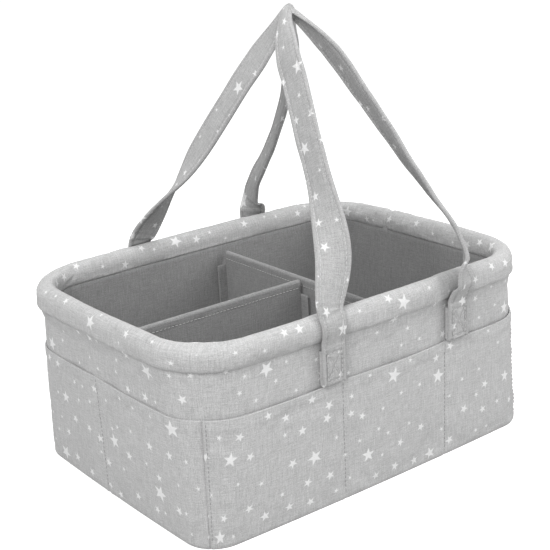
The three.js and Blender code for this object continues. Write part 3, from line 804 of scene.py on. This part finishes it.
def pocket(side):
    name = f"pocket_{SIDE_NAMES[side]}"
    columns = Columns([side], 12, 2.6 * MM, False)
    droop = MOUTH_DROOP * columns.slack_shares()
    hem_run = (POCKET_HEIGHT - HEM_HEIGHT, POCKET_HEIGHT - HEM_FULL_SHARE * HEM_HEIGHT)
    even = np.linspace(POCKET_ROWS_FROM, POCKET_HEIGHT - HEM_THICKNESS, POCKET_ROWS)
    heights = np.array([*POCKET_FOOT, *even])

    def face(z, out):
        return (pocket_offset(columns, z, side) + out, z - droop * (z / POCKET_HEIGHT) ** 3)

    rows = []
    for z in heights:
        tuck = FOOT_TUCK * (1 - smoothstep(z, 0, FOOT_TUCK_RUN))
        hem = (HEM_THICKNESS - POCKET_THICKNESS) * smoothstep(z, *hem_run)
        rows.append(face(z, POCKET_THICKNESS + hem - tuck))
    grid = section_rings(columns, rows)
    seams = columns.seam_distance() < SEAM_HELD
    held = (heights < POCKET_HELD) | (heights > POCKET_HEIGHT - HEM_HELD_SHARE * HEM_HEIGHT)
    outer = settle(grid, False, held[None, :] | seams[:, None], POCKET_SETTLING[side])
    radius = HEM_THICKNESS / 2
    middle = pocket_offset(columns, POCKET_HEIGHT, side) + radius
    for angle in np.linspace(0, math.pi, HEM_ROUND + 1):
        top = POCKET_HEIGHT - radius + radius * math.sin(angle)
        rows.append((middle + radius * math.cos(angle), top - droop))
    rows += [face(z, 0.0) for z in heights[::-3]]
    still = np.zeros((columns.count, len(rows) - len(heights), 3))
    piece = band(f"{name}_cloth", columns, rows, PRINT, uv_shift=side * PRINT_SHIFT,
                 moved=np.concatenate([outer, still], axis=1))
    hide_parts(name)
    stitches = Stitches()
    # A corner has one row of stitches, that of the long side's pocket
    places = columns.seam_places()
    for place in places[1:-1] if side % 2 else places:
        inward = min(max(place, 1), columns.count - 2)
        normal = np.array([*columns.normals()[inward], 0.0])
        path = (grid + outer)[inward, 4:] + normal * THREAD_LIFT
        stitches.row(path, [normal] * len(path))
    sewn = stitches.finish(f"{name}_stitching", "caddy", SEAM_THREAD)


for side in ALL_SIDES:
    pocket(side)


# Inside: lining wall, floor lining, and the panel underneath
LINING_CRUMPLE = Bumps(41.0, 34 * MM, 0.55 * MM)
CRUMPLE_BIAS = 0.6
CRUMPLE_STRETCH = 0.45
CRUMPLE_FOOT = 20 * MM
CRUMPLE_TOP = 10 * MM
LINING_ROWS = 22
PANEL_SHARES = (0.9, 0.6, 0.3)
EDGE_SHARE = 0.7


def lining_wall():
    columns = Columns(ALL_SIDES, 12, 6 * MM, True)
    bottom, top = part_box("lining_wall")[0].z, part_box("lining_wall")[1].z
    section = [(LINING - WALL, z) for z in (bottom, top)]
    for z in np.linspace(top, bottom, LINING_ROWS):
        crumple = bumps(LINING_CRUMPLE, columns.along, z * CRUMPLE_STRETCH)
        crumple = np.minimum(crumple - LINING_CRUMPLE.depth * CRUMPLE_BIAS, 0)
        fade = smoothstep(z, bottom, bottom + CRUMPLE_FOOT) * (1 - smoothstep(z, top - CRUMPLE_TOP, top))
        section.append((crumple * fade - WALL, z))
    piece = band("lining_wall_cloth", columns, section, INSIDE)
    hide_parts("lining_wall")
    places = columns.points((bottom + top) / 2, -WALL)


def flat_panel(name, node, offset, bottom, top, material, edge):
    """A panel with the wall's outline, with soft edges"""
    columns = Columns(ALL_SIDES, 10, 12 * MM, True)
    bend = edge * EDGE_SHARE
    levels = ((edge, bottom), (0, bottom + bend), (0, top - bend), (edge, top))
    rings = [columns.points(z, offset - inset) for inset, z in levels]
    above = [rings[-1] * [share, share, 1] for share in PANEL_SHARES]
    below = [rings[0] * [share, share, 1] for share in reversed(PANEL_SHARES)]
    stack = [*below, *rings, *above]
    count, last = columns.count, (len(stack) - 1) * columns.count
    points = np.concatenate([*stack, [[0, 0, bottom], [0, 0, top]]])
    faces = []
    for i in range(count):
        k = (i + 1) % count
        faces += [(here + i, here + k, here + count + k, here + count + i) for here in range(0, last, count)]
        faces += [(last + count, k, i), (last + count + 1, last + i, last + k)]
    uvs = [tuple((points[i][0], points[i][1]) for i in face) for face in faces]
    piece = add_mesh(name, points, faces, uvs, material, "caddy")
    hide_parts(node)


lining_wall()
floor_low, floor_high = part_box("floor_lining")
flat_panel("floor_lining_cloth", "floor_lining", -WALL - CLEARANCE, floor_low.z, floor_high.z, INSIDE,
           LINING / 2)
flat_panel("underside_cloth", "underside_panel", 0.0, 0.0, UNDERSIDE_TOP, PRINT,
           FABRIC / 2)


# Straps
HANDLE_APEX_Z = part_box("front_handle_strap")[1].z - STRAP_THICKNESS / 2
HANDLE_APEX_OUT = 6 * MM
HINGE_RUN = 2.4 * MM
BESIDE_DROP_SHARE = 0.05
BESIDE_STAND_SHARE = 0.55
SHOULDER_RUN = 12 * MM
APEX_PINCH = 60 * MM
APEX_WIDTH_SHARE = 0.36
FOOT_TAPER = 60 * MM
FOOT_SEAT = long_wall_face(HANDLE_REACH - HANDLE_OFFSET, FOOT_TOP) + CLEARANCE
FOOT_FACE = FOOT_SEAT + 2 * STRAP_THICKNESS + STRAP_SLIT
HINGE_OUT = FOOT_FACE - STRAP_THICKNESS / 2
HINGE_Z = FOOT_TOP + 2 * CLEARANCE
FOOT_SHARE = FOOT_WIDTH / STRAP_WIDTH

# Each leg, left and right: how far it stands off the roll, how far round it, its turns by the
# roll, and its points up to the apex as shares: up, inward, beside and turn
Handle = namedtuple("Handle", "facing lean legs")
Leg = namedtuple("Leg", "stand shoulder_share roll_shares point_shares")
HANDLES = {
    "front": Handle(-1, 8 * MM, [
        Leg(0.0, 0.12, [0, 0, 0, 0, 0.02],
            [(0.22, 0.12, 0.8, 0.43), (0.4, 0.32, 0.62, 0.94), (0.58, 0.51, 0.5, 1), (0.76, 0.7, 0.37, 1),
             (0.91, 0.88, 0.24, 1)]),
        Leg(6.5 * MM, 0.06, [0, 0, 0.06, 0.2, 0.38],
            [(0.1, 0.02, 1.07, 0.53), (0.22, 0.1, 1.01, 0.6), (0.34, 0.24, 0.87, 0.68),
             (0.5, 0.42, 0.7, 0.78), (0.68, 0.62, 0.53, 0.86), (0.86, 0.83, 0.32, 0.95)]),
    ]),
    "back": Handle(1, 19 * MM, [
        Leg(0.0, 0.2, [0, 0, 0, 0, 0.02],
            [(0.2, 0.19, 0.82, 0.4), (0.4, 0.4, 0.6, 0.94), (0.65, 0.65, 0.35, 1), (0.85, 0.85, 0.14, 1)]),
        Leg(6 * MM, 0.06, [0, 0, 0.03, 0.14, 0.5],
            [(0.1, 0.02, 0.97, 1.1), (0.2, 0.12, 0.9, 1.3), (0.38, 0.34, 0.86, 1.38),
             (0.57, 0.55, 0.74, 1.38), (0.76, 0.76, 0.5, 1.3), (0.9, 0.9, 0.25, 1.15)]),
    ]),
}


def leg_route(handle, leg, leg_x):
    """One leg of a handle from its hinge up to the last point before the apex"""
    apex_x = HANDLE_OFFSET + handle.lean
    rim_out = long_wall_face(leg_x, RIM_MIDDLE) + RIM_CENTRE
    stand = STRAP_THICKNESS / 2 + CLEARANCE
    turn = leg.shoulder_share * math.pi
    lift = Vector((math.cos(turn) / RIM_WIDTH, math.sin(turn) / RIM_HEIGHT)).normalized()
    lift *= stand + 2 * CLEARANCE + leg.stand
    beside_out = rim_out + RIM_WIDTH / 2 + stand + CLEARANCE + BESIDE_STAND_SHARE * leg.stand
    shoulder_out = rim_out + RIM_WIDTH / 2 * math.cos(turn) + lift.x
    shoulder_z = RIM_MIDDLE + RIM_HEIGHT / 2 * math.sin(turn) + lift.y
    profile = [
        (HINGE_OUT, HINGE_Z),
        (HINGE_OUT, HINGE_Z + HINGE_RUN),
        (max(HINGE_OUT, beside_out), RIM_MIDDLE - BESIDE_DROP_SHARE * RIM_HEIGHT),
        (shoulder_out, shoulder_z),
        (shoulder_out - SHOULDER_RUN * math.sin(turn), shoulder_z + SHOULDER_RUN * math.cos(turn)),
    ]
    route = [Vector((leg_x, handle.facing * out, z)) for out, z in profile]
    for up, inward, beside, _ in leg.point_shares:
        out = between(shoulder_out, HANDLE_APEX_OUT, inward)
        z = between(shoulder_z, HANDLE_APEX_Z, up)
        route.append(Vector((between(apex_x, leg_x, beside), handle.facing * out, z)))
    return route


def smooth(values, gap, steps):
    """Catmull-Rom through the values, at a pace that the gap between two sets: values and slopes"""
    points = [2 * values[0] - values[1], *values, 2 * values[-1] - values[-2]]
    made, slopes = [], []
    for i in range(1, len(points) - 2):
        p0, p1, p2, p3 = points[i - 1 : i + 3]
        d0, d1, d2 = gap(p0, p1), gap(p1, p2), gap(p2, p3)
        t1 = ((p1 - p0) / d0 - (p2 - p0) / (d0 + d1) + (p2 - p1) / d1) * d1
        t2 = ((p2 - p1) / d1 - (p3 - p1) / (d1 + d2) + (p3 - p2) / d2) * d1
        a, b = -3 * p1 + 3 * p2 - 2 * t1 - t2, 2 * p1 - 2 * p2 + t1 + t2
        for k in range(steps + (i == len(points) - 3)):
            t = k / steps
            made.append(p1 + t1 * t + a * t * t + b * t ** 3)
            slopes.append(t1 + 2 * a * t + 3 * b * t * t)
    return made, slopes


# The strap's section: a row of topstitching pressed in near each edge, and a fuller hem outside it
TOPSTITCH_INSET = 4.6 * MM
TOPSTITCH_DEPTH = 0.95 * MM
TOPSTITCH_HALF = 1.7 * MM
HEM_SWELL = 0.4 * MM
HEM_SWELL_PLACE = 1.4
STRAP_FACE_STEPS = 30
STRAP_EDGE_STEPS = 4
STRAP_CROWN = 0.3 * MM
SPAN_STEPS = 20
TOPSTITCH_PLACE = STRAP_WIDTH / 2 - TOPSTITCH_INSET

# How a loose strap bends across, cups, folds where it is held, and is uneven
LOOSE_RUN = (20 * MM, 90 * MM)
STRAP_BEND = Bumps(51.0, 1.0, 0.8 * MM)
STRAP_CUP = Bumps(57.0, 1.0, 0.9 * MM)
BEND_STEP = 0.09
CUP_STEP = 0.06
CUP_PLACE = 3.0
APEX_FOLD = 3.5 * MM
APEX_FOLD_RUN = (8 * MM, 55 * MM)
STRAP_RIPPLE = Bumps(63.0, 4 * MM, 0.25 * MM)
RIPPLE_STEP = 0.9 * MM

# Cross wrinkles where the strap bends up from the roll: they grow and fade along these runs
WRINKLES_START = (20 * MM, 32 * MM)
WRINKLES_END = (39.6 * MM, 66 * MM)
WRINKLE_PITCH = 7 * MM
WRINKLE_DEPTH = 0.32 * MM
WRINKLE_DRIFT = Bumps(67.0, 11 * MM, 2.5)

# The box of stitches with a cross in it that holds each foot
FOOT_ROWS = 34
FOLD_STEPS = 8
BOX_LOW = FOOT_BOTTOM + 4.5 * MM
BOX_HIGH = FOOT_TOP - 5 * MM
BOX_HALF = FOOT_WIDTH / 2 - 4.4 * MM
BOX_CORNERS = [(-BOX_HALF, BOX_LOW), (BOX_HALF, BOX_LOW), (BOX_HALF, BOX_HIGH), (-BOX_HALF, BOX_HIGH)]
BOX_LINES = [*zip(BOX_CORNERS, BOX_CORNERS[1:] + BOX_CORNERS[:1]), (BOX_CORNERS[0], BOX_CORNERS[2]),
             (BOX_CORNERS[1], BOX_CORNERS[3])]
QUILT_DEPTH = 1.05 * MM
QUILT_HALF = 1.6 * MM
QUILT_PUFF_SHARE = 0.25
CLOSE = 0.01 * MM
SEAM_REST = 4
STRAP_PRINT_SHIFT = 0.31


def foot_path(facing, leg_x):
    """The sewn foot from the strap's raw end behind, round the fold and up to the hinge"""
    inner, outer = FOOT_SEAT + STRAP_THICKNESS / 2, HINGE_OUT
    radius = (outer - inner) / 2
    turn_z = FOOT_BOTTOM + STRAP_THICKNESS + STRAP_SLIT / 2
    path = [(inner, z) for z in np.linspace(FOOT_TOP - STRAP_THICKNESS, turn_z, FOLD_STEPS)[:-1]]
    for angle in np.linspace(math.pi, 2 * math.pi, FOLD_STEPS + 1):
        path.append((inner + radius + radius * math.cos(angle), turn_z + radius * math.sin(angle)))
    path += [(outer, z) for z in np.linspace(turn_z, FOOT_TOP, FOOT_ROWS)[1:]]
    return [Vector((leg_x, facing * out, z)) for out, z in path]


def strap_section():
    """Points round the strap: across and out, at full width. The face comes first."""
    half, thick = STRAP_WIDTH / 2, STRAP_THICKNESS / 2
    across = np.linspace(-half + thick, half - thick, STRAP_FACE_STEPS + 1)
    beside = (np.abs(across) - TOPSTITCH_PLACE) / TOPSTITCH_HALF
    dip = TOPSTITCH_DEPTH * np.exp(-2 * beside ** 2)
    swell = HEM_SWELL * np.exp(-2 * (beside - HEM_SWELL_PLACE) ** 2)
    crown = STRAP_CROWN * (1 - (across / half) ** 2)
    face = list(zip(across, thick - dip + swell + crown))
    edge = []
    for i in range(1, STRAP_EDGE_STEPS):
        angle = math.pi / 2 - math.pi * i / STRAP_EDGE_STEPS
        edge.append((half - thick + thick * math.cos(angle), thick * math.sin(angle)))
    return np.array([*face, *edge, *[(-u, -v) for u, v in face + edge]])


# A place along the strap: its directions out and across, its share of the full width, and how far
# it is from a foot and from the apex
Station = namedtuple("Station", "place out across width from_foot from_apex")


def strap_stations(handle):
    """Places along the strap from hinge to hinge"""
    left, right = [leg_route(handle, leg, x) for leg, x in zip(handle.legs, LEG_PLACES)]
    turns_left, turns_right = [[*leg.roll_shares, *[shares[-1] for shares in leg.point_shares]]
                               for leg in handle.legs]
    apex = Vector((HANDLE_OFFSET + handle.lean, handle.facing * HANDLE_APEX_OUT, HANDLE_APEX_Z))
    route = [*left, apex, *reversed(right)]
    places, tangents = smooth(route, lambda a, b: (b - a).length ** 0.5, SPAN_STEPS)
    turns, _ = smooth([*turns_left, 1, *reversed(turns_right)], lambda a, b: 1, SPAN_STEPS)
    lengths = path_lengths([tuple(place) for place in places])
    apex_length = lengths[len(left) * SPAN_STEPS]
    out_of_wall = Vector((0, handle.facing, 0))
    stations = []
    for place, tangent, length, turn in zip(places, tangents, lengths, turns):
        tangent = tangent.normalized()
        flat = (out_of_wall - tangent * out_of_wall.dot(tangent)).normalized()
        sideways = tangent.cross(flat) * handle.facing
        twist = math.pi / 2 * turn
        out = flat * math.cos(twist) + sideways * math.sin(twist)
        from_foot, from_apex = min(length, lengths[-1] - length), abs(length - apex_length)
        apex_share = between(APEX_WIDTH_SHARE, 1, smoothstep(from_apex, 0, APEX_PINCH))
        width = between(FOOT_SHARE, apex_share, smoothstep(from_foot, 0, FOOT_TAPER))
        stations.append(Station(place, out, tangent.cross(out), width, from_foot, from_apex))
    return stations


def foot_stations(facing, leg_x, across, sense):
    """A foot from the raw end to the hinge. The strap runs up it, or down where the sense is -1."""
    path = foot_path(facing, leg_x)
    made = []
    for i, place in enumerate(path):
        tangent = (path[min(i + 1, len(path) - 1)] - path[max(i - 1, 0)]).normalized()
        made.append(Station(place, across.cross(tangent * sense), across, FOOT_SHARE, 0.0, 1.0))
    return made


def quilt(u, z):
    """How deep the stitches of the box press into the foot"""
    near = math.inf
    for a, b in BOX_LINES:
        run, at = (b[0] - a[0], b[1] - a[1]), (u - a[0], z - a[1])
        share = min(1, max(0, (run[0] * at[0] + run[1] * at[1]) / (run[0] ** 2 + run[1] ** 2)))
        near = min(near, math.hypot(at[0] - share * run[0], at[1] - share * run[1]))
    return QUILT_DEPTH * (bell(near, QUILT_HALF) - QUILT_PUFF_SHARE)


def strap_rings(stations, section, facing):
    rings = []
    for k, at in enumerate(stations):
        loose = smoothstep(at.from_foot, *LOOSE_RUN)
        bend = bump(STRAP_BEND, k * BEND_STEP, 0.0, facing) * loose
        cup = bump(STRAP_CUP, k * CUP_STEP, CUP_PLACE, facing) * loose
        fold = APEX_FOLD * (1 - smoothstep(at.from_apex, *APEX_FOLD_RUN))
        on_foot = at.from_foot == 0 and abs(at.place.y) > HINGE_OUT - CLOSE
        gathered = smoothstep(at.from_foot, *WRINKLES_START) * (1 - smoothstep(at.from_foot, *WRINKLES_END))
        ring = []
        for u, v in section:
            share = u / (STRAP_WIDTH / 2)
            curl = bend + (cup - fold) * share ** 2
            ripple = bump(STRAP_RIPPLE, u, k * RIPPLE_STEP) * (1 - abs(share) ** 3)
            bent = 2 * math.pi * at.from_foot / WRINKLE_PITCH + bump(WRINKLE_DRIFT, u, at.from_foot)
            wrinkle = WRINKLE_DEPTH * gathered * math.sin(bent) * (1 - share ** 4)
            ripple += math.copysign(1, v) * wrinkle
            if on_foot and v > 0:
                ripple -= quilt(u * at.width, at.place.z)
            ring.append(at.place + at.across * (u * at.width) + at.out * (v + curl + ripple))
        rings.append([tuple(p) for p in ring])
    return np.array(rings)


def strap(name):
    handle = HANDLES[name]
    facing = handle.facing
    stations = strap_stations(handle)
    first = foot_stations(facing, LEG_PLACES[0], stations[0].across, 1)
    last = foot_stations(facing, LEG_PLACES[1], stations[-1].across, -1)
    whole = [*first, *stations, *reversed(last)]
    section = strap_section()
    rings = strap_rings(whole, section, facing)
    runs = path_lengths([tuple(at.place) for at in whole])
    around = section_lengths(np.array([[(u, v, 0) for u, v in section]]))[0]
    around += STRAP_PRINT_SHIFT if facing > 0 else 0.0
    uv = [[(place, run) for place in around] for run in runs]
    piece = tube(f"{name}_handle_strap_cloth", rings, uv, False, STRAP, None)

    # Topstitching along both edges, on both faces, and the box with its cross on each foot
    stitches = Stitches()
    face_count = STRAP_FACE_STEPS + 1
    turned = len(section) // 2
    begin = len(first) - FOOT_ROWS + SEAM_REST
    loose = rings[begin : len(whole) - len(last) + FOOT_ROWS - SEAM_REST : 2]
    for sign in (-1, 1):
        column = int(np.argmin(np.abs(section[:face_count, 0] - sign * TOPSTITCH_PLACE)))
        opposite = face_count - 1 - column
        for index, beyond in ((column, turned + opposite), (turned + column, opposite)):
            outs = loose[:, index] - loose[:, beyond]
            stitches.row(loose[:, index], outs / np.linalg.norm(outs, axis=1)[:, None])
    surface = facing * (FOOT_FACE - THREAD_LIFT)
    for leg_x in LEG_PLACES:
        for line in BOX_LINES:
            stitches.row([(leg_x + u, surface, z) for u, z in line], [(0, facing, 0)] * 2)
    sewn = stitches.finish(f"{name}_strap_stitching", None, THREAD)

    for cloth in (piece, sewn):
        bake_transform(cloth)
    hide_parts(f"{name}_handle_strap", f"{name}_handle_webbing", f"{name}_strap_foot_left",
                f"{name}_strap_foot_right")


for name in HANDLES:
    strap(name)


# Dividers: a board in a sewn cover with a binding folded over its top and a flange at each end
SLAB_ROWS = 16
SLAB_ROUND = 4
SLAB_STEP = 5 * MM
SLAB_BULGE = 32 * MM
SLAB_BULGE_SHARES = (0.4, 0.6)
SLAB_DIP = -0.1 * MM
SLAB_END_SHARE = 0.05
COVER_HALF = 2.2 * MM
FLANGE_WIDTH = 24 * MM
FLANGE_THICKNESS = 1.4 * MM
FLANGE_HEIGHT = 96 * MM
FLANGE_DROP = 14 * MM
BINDING_HEIGHT = 9 * MM
BINDING_PROUD = 0.45 * MM
BINDING_SHORT = 0.3 * MM
COVER_DROP = 0.4 * MM
PANEL_PUFF, PANEL_SEED = 0.3 * MM, 1.7
BINDING_PUFF, BINDING_SEED = 0.15 * MM, 4.1
FLANGE_PUFF, FLANGE_SEED = 0.1 * MM, 7.3
SEAM_RISE = 1.6 * MM
SEAM_LIFT = 0.05 * MM
SEAM_INSET = 3 * MM


def upright(run, along, across, z):
    """A place on a divider: along it, across it and up"""
    return (across, along, z) if run else (along, across, z)


def slab(name, run, spans, thin_at, half, bottom, top, puff, seed, body):
    """A soft slab along the axis run, between the two spans, with rounded edges all round"""
    columns = max(10, round((spans[1] - spans[0]) / SLAB_STEP))
    inner = np.linspace(bottom + half, top - half, SLAB_ROWS)
    arc = np.linspace(0, math.pi, 2 * SLAB_ROUND + 1)[1:-1]
    ring = [(half, z, 1.0) for z in inner]
    ring += [(half * math.cos(a), top - half + half * math.sin(a), 0.0) for a in arc]
    ring += [(-half, z, 1.0) for z in inner[::-1]]
    ring += [(-half * math.cos(a), bottom + half - half * math.sin(a), 0.0) for a in arc]
    quarter = np.linspace(0, math.pi / 2, SLAB_ROUND + 1)
    ends, shares = half * (1 - np.cos(quarter)), np.sin(quarter)
    straight = np.linspace(spans[0] + half, spans[1] - half, columns)[1:-1]
    places = np.concatenate([spans[0] + ends, straight, spans[1] - ends[::-1]])
    scales = np.concatenate([shares, np.ones(columns - 2), shares[::-1]])
    even, uneven = SLAB_BULGE_SHARES
    bulges = Bumps(seed, SLAB_BULGE, uneven)
    middle, reach = (bottom + top) / 2, (top - bottom) / 2
    rings = []
    for at, scale in zip(places, scales):
        points = []
        for u, z, face in ring:
            bulge = puff * face * (even + bump(bulges, at, z + u)) * scale
            across = u * between(SLAB_END_SHARE, 1, scale) + math.copysign(max(bulge, SLAB_DIP), u)
            lift = math.copysign((1 - scale) * half, z - middle)
            near_end = smoothstep(abs(z - middle), reach - 2 * half, reach)
            points.append(upright(run, at, thin_at + across, z - lift * near_end))
        rings.append(points)
    around = section_lengths(np.array([[(u, z, 0) for u, z, _ in ring]]))[0]
    uv = [[(at + seed, length) for length in around] for at in places]
    return tube(name, np.array(rings), uv, False, INSIDE, body)


def divider(body):
    run = 1 if body == "cross_divider" else 0
    cover_low, cover_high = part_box(f"{body}_cover")
    board_low, board_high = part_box(f"{body}_board")
    middle = (board_low[1 - run] + board_high[1 - run]) / 2
    start, end = spans = (cover_low[run], cover_high[run])
    bottom, top = cover_low.z, cover_high.z
    panel = slab(f"{body}_panel", run, spans, middle, COVER_HALF, bottom, top - COVER_DROP, PANEL_PUFF,
                 PANEL_SEED + run, body)
    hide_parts(f"{body}_cover")
    half = COVER_HALF + BINDING_PROUD
    binding = slab(f"{body}_binding", run, (start + BINDING_SHORT, end - BINDING_SHORT), middle, half,
                   top - BINDING_HEIGHT, top, BINDING_PUFF, BINDING_SEED + run, body)
    flange_top = top - FLANGE_DROP
    flange = (middle - FLANGE_WIDTH / 2, middle + FLANGE_WIDTH / 2)
    for index, place in enumerate((start + FLANGE_THICKNESS / 2, end - FLANGE_THICKNESS / 2)):
        strip = slab(f"{body}_flange_{index}", 1 - run, flange, place, FLANGE_THICKNESS / 2,
                     flange_top - FLANGE_HEIGHT, flange_top, FLANGE_PUFF, FLANGE_SEED + index, body)
    stitches = Stitches()
    for sign in (-1, 1):
        out = middle + sign * (half + SEAM_LIFT)
        path = [upright(run, at, out, top - BINDING_HEIGHT + SEAM_RISE)
                for at in (start + SEAM_INSET, end - SEAM_INSET)]
        stitches.row(path, [upright(run, 0, sign, 0)] * 2)
    stitches.finish(f"{body}_stitching", body, THREAD)


divider("cross_divider")
divider("long_divider")

for node_name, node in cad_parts.items():
    material = None
    if "stiffener" in node_name or node_name.endswith("divider_board"):
        material = FELT
    elif node_name == "base_board":
        material = CARD
    elif "tape" in node_name:
        material = LOOPS
    if material:
        node.data.materials.clear()
        node.data.materials.append(material)


# Floor, light and camera. What the camera sees of floor and sky is lifted to white, and keeps the
# object's shadow.
WHITE = (1, 1, 1, 1)
FLOOR_SIZE = 60
FLOOR_LEVEL = 0.55
FLOOR_LIFT = 0.74
SKY_LEVEL = 0.53
LAMPS = [
    ("key", (-1.65, -1.05, 1.8), 1.1, 38),
    ("fill", (1.5, -1.4, 1.3), 1.6, 25),
    ("top", (0.0, 0.2, 2.2), 1.2, 15),
]
LAMP_AIM = Vector((0, 0, 0.12))

CAMERA_AZIMUTH = math.radians(-36.87)
CAMERA_ELEVATION = math.radians(21.68)
CAMERA_ROLL = math.radians(-3.19)
CAMERA_DISTANCE = 1.1418
CAMERA_TARGET = Vector((0, 0, 0.09))
FRAME_PIXELS = 550
FOCAL_PIXELS = 1205.66
CENTRE_PIXELS = (280.94, 345.39)
SENSOR_WIDTH = 36.0


def floor_and_light():
    bpy.ops.mesh.primitive_plane_add(size=FLOOR_SIZE, location=(0, 0, 0))
    floor = bpy.context.object
    floor.name = "floor"
    nodes = Nodes(bpy.data.materials.new("floor_white"))
    floor.data.materials.append(nodes.surface({
        "Base Color": (*grey(FLOOR_LEVEL), 1),
        "Roughness": 1.0,
        "Specular IOR Level": 0.0,
        "Emission Color": WHITE,
        "Emission Strength": nodes.seen() * FLOOR_LIFT,
    }))
    sky = Nodes(bpy.data.worlds.new("studio"), "Background")
    strength = sky.seen() * (1 - SKY_LEVEL) + SKY_LEVEL
    bpy.context.scene.world = sky.surface({"Color": WHITE, "Strength": strength})
    for name, place, size, power in LAMPS:
        data = bpy.data.lights.new(name, "AREA")
        data.size = size
        data.energy = power
        lamp = bpy.data.objects.new(name, data)
        bpy.context.scene.collection.objects.link(lamp)
        lamp.location = place
        lamp.rotation_euler = (LAMP_AIM - Vector(place)).to_track_quat("-Z", "Y").to_euler()


def camera():
    data = bpy.data.cameras.new("camera")
    data.sensor_width = SENSOR_WIDTH
    data.lens = FOCAL_PIXELS / FRAME_PIXELS * SENSOR_WIDTH
    data.shift_x = (FRAME_PIXELS / 2 - CENTRE_PIXELS[0]) / FRAME_PIXELS
    data.shift_y = (CENTRE_PIXELS[1] - FRAME_PIXELS / 2) / FRAME_PIXELS
    made = bpy.data.objects.new("camera", data)
    bpy.context.scene.collection.objects.link(made)
    back = Vector((math.sin(CAMERA_AZIMUTH) * math.cos(CAMERA_ELEVATION),
                   -math.cos(CAMERA_AZIMUTH) * math.cos(CAMERA_ELEVATION), math.sin(CAMERA_ELEVATION)))
    level = (-back).to_track_quat("-Z", "Y").to_matrix()
    turned = level @ Matrix.Rotation(CAMERA_ROLL, 3, "Z")
    made.matrix_world = Matrix.Translation(CAMERA_TARGET + back * CAMERA_DISTANCE) @ turned.to_4x4()
    bpy.context.scene.camera = made


floor_and_light()
camera()
bpy.context.scene.view_settings.view_transform = "Standard"
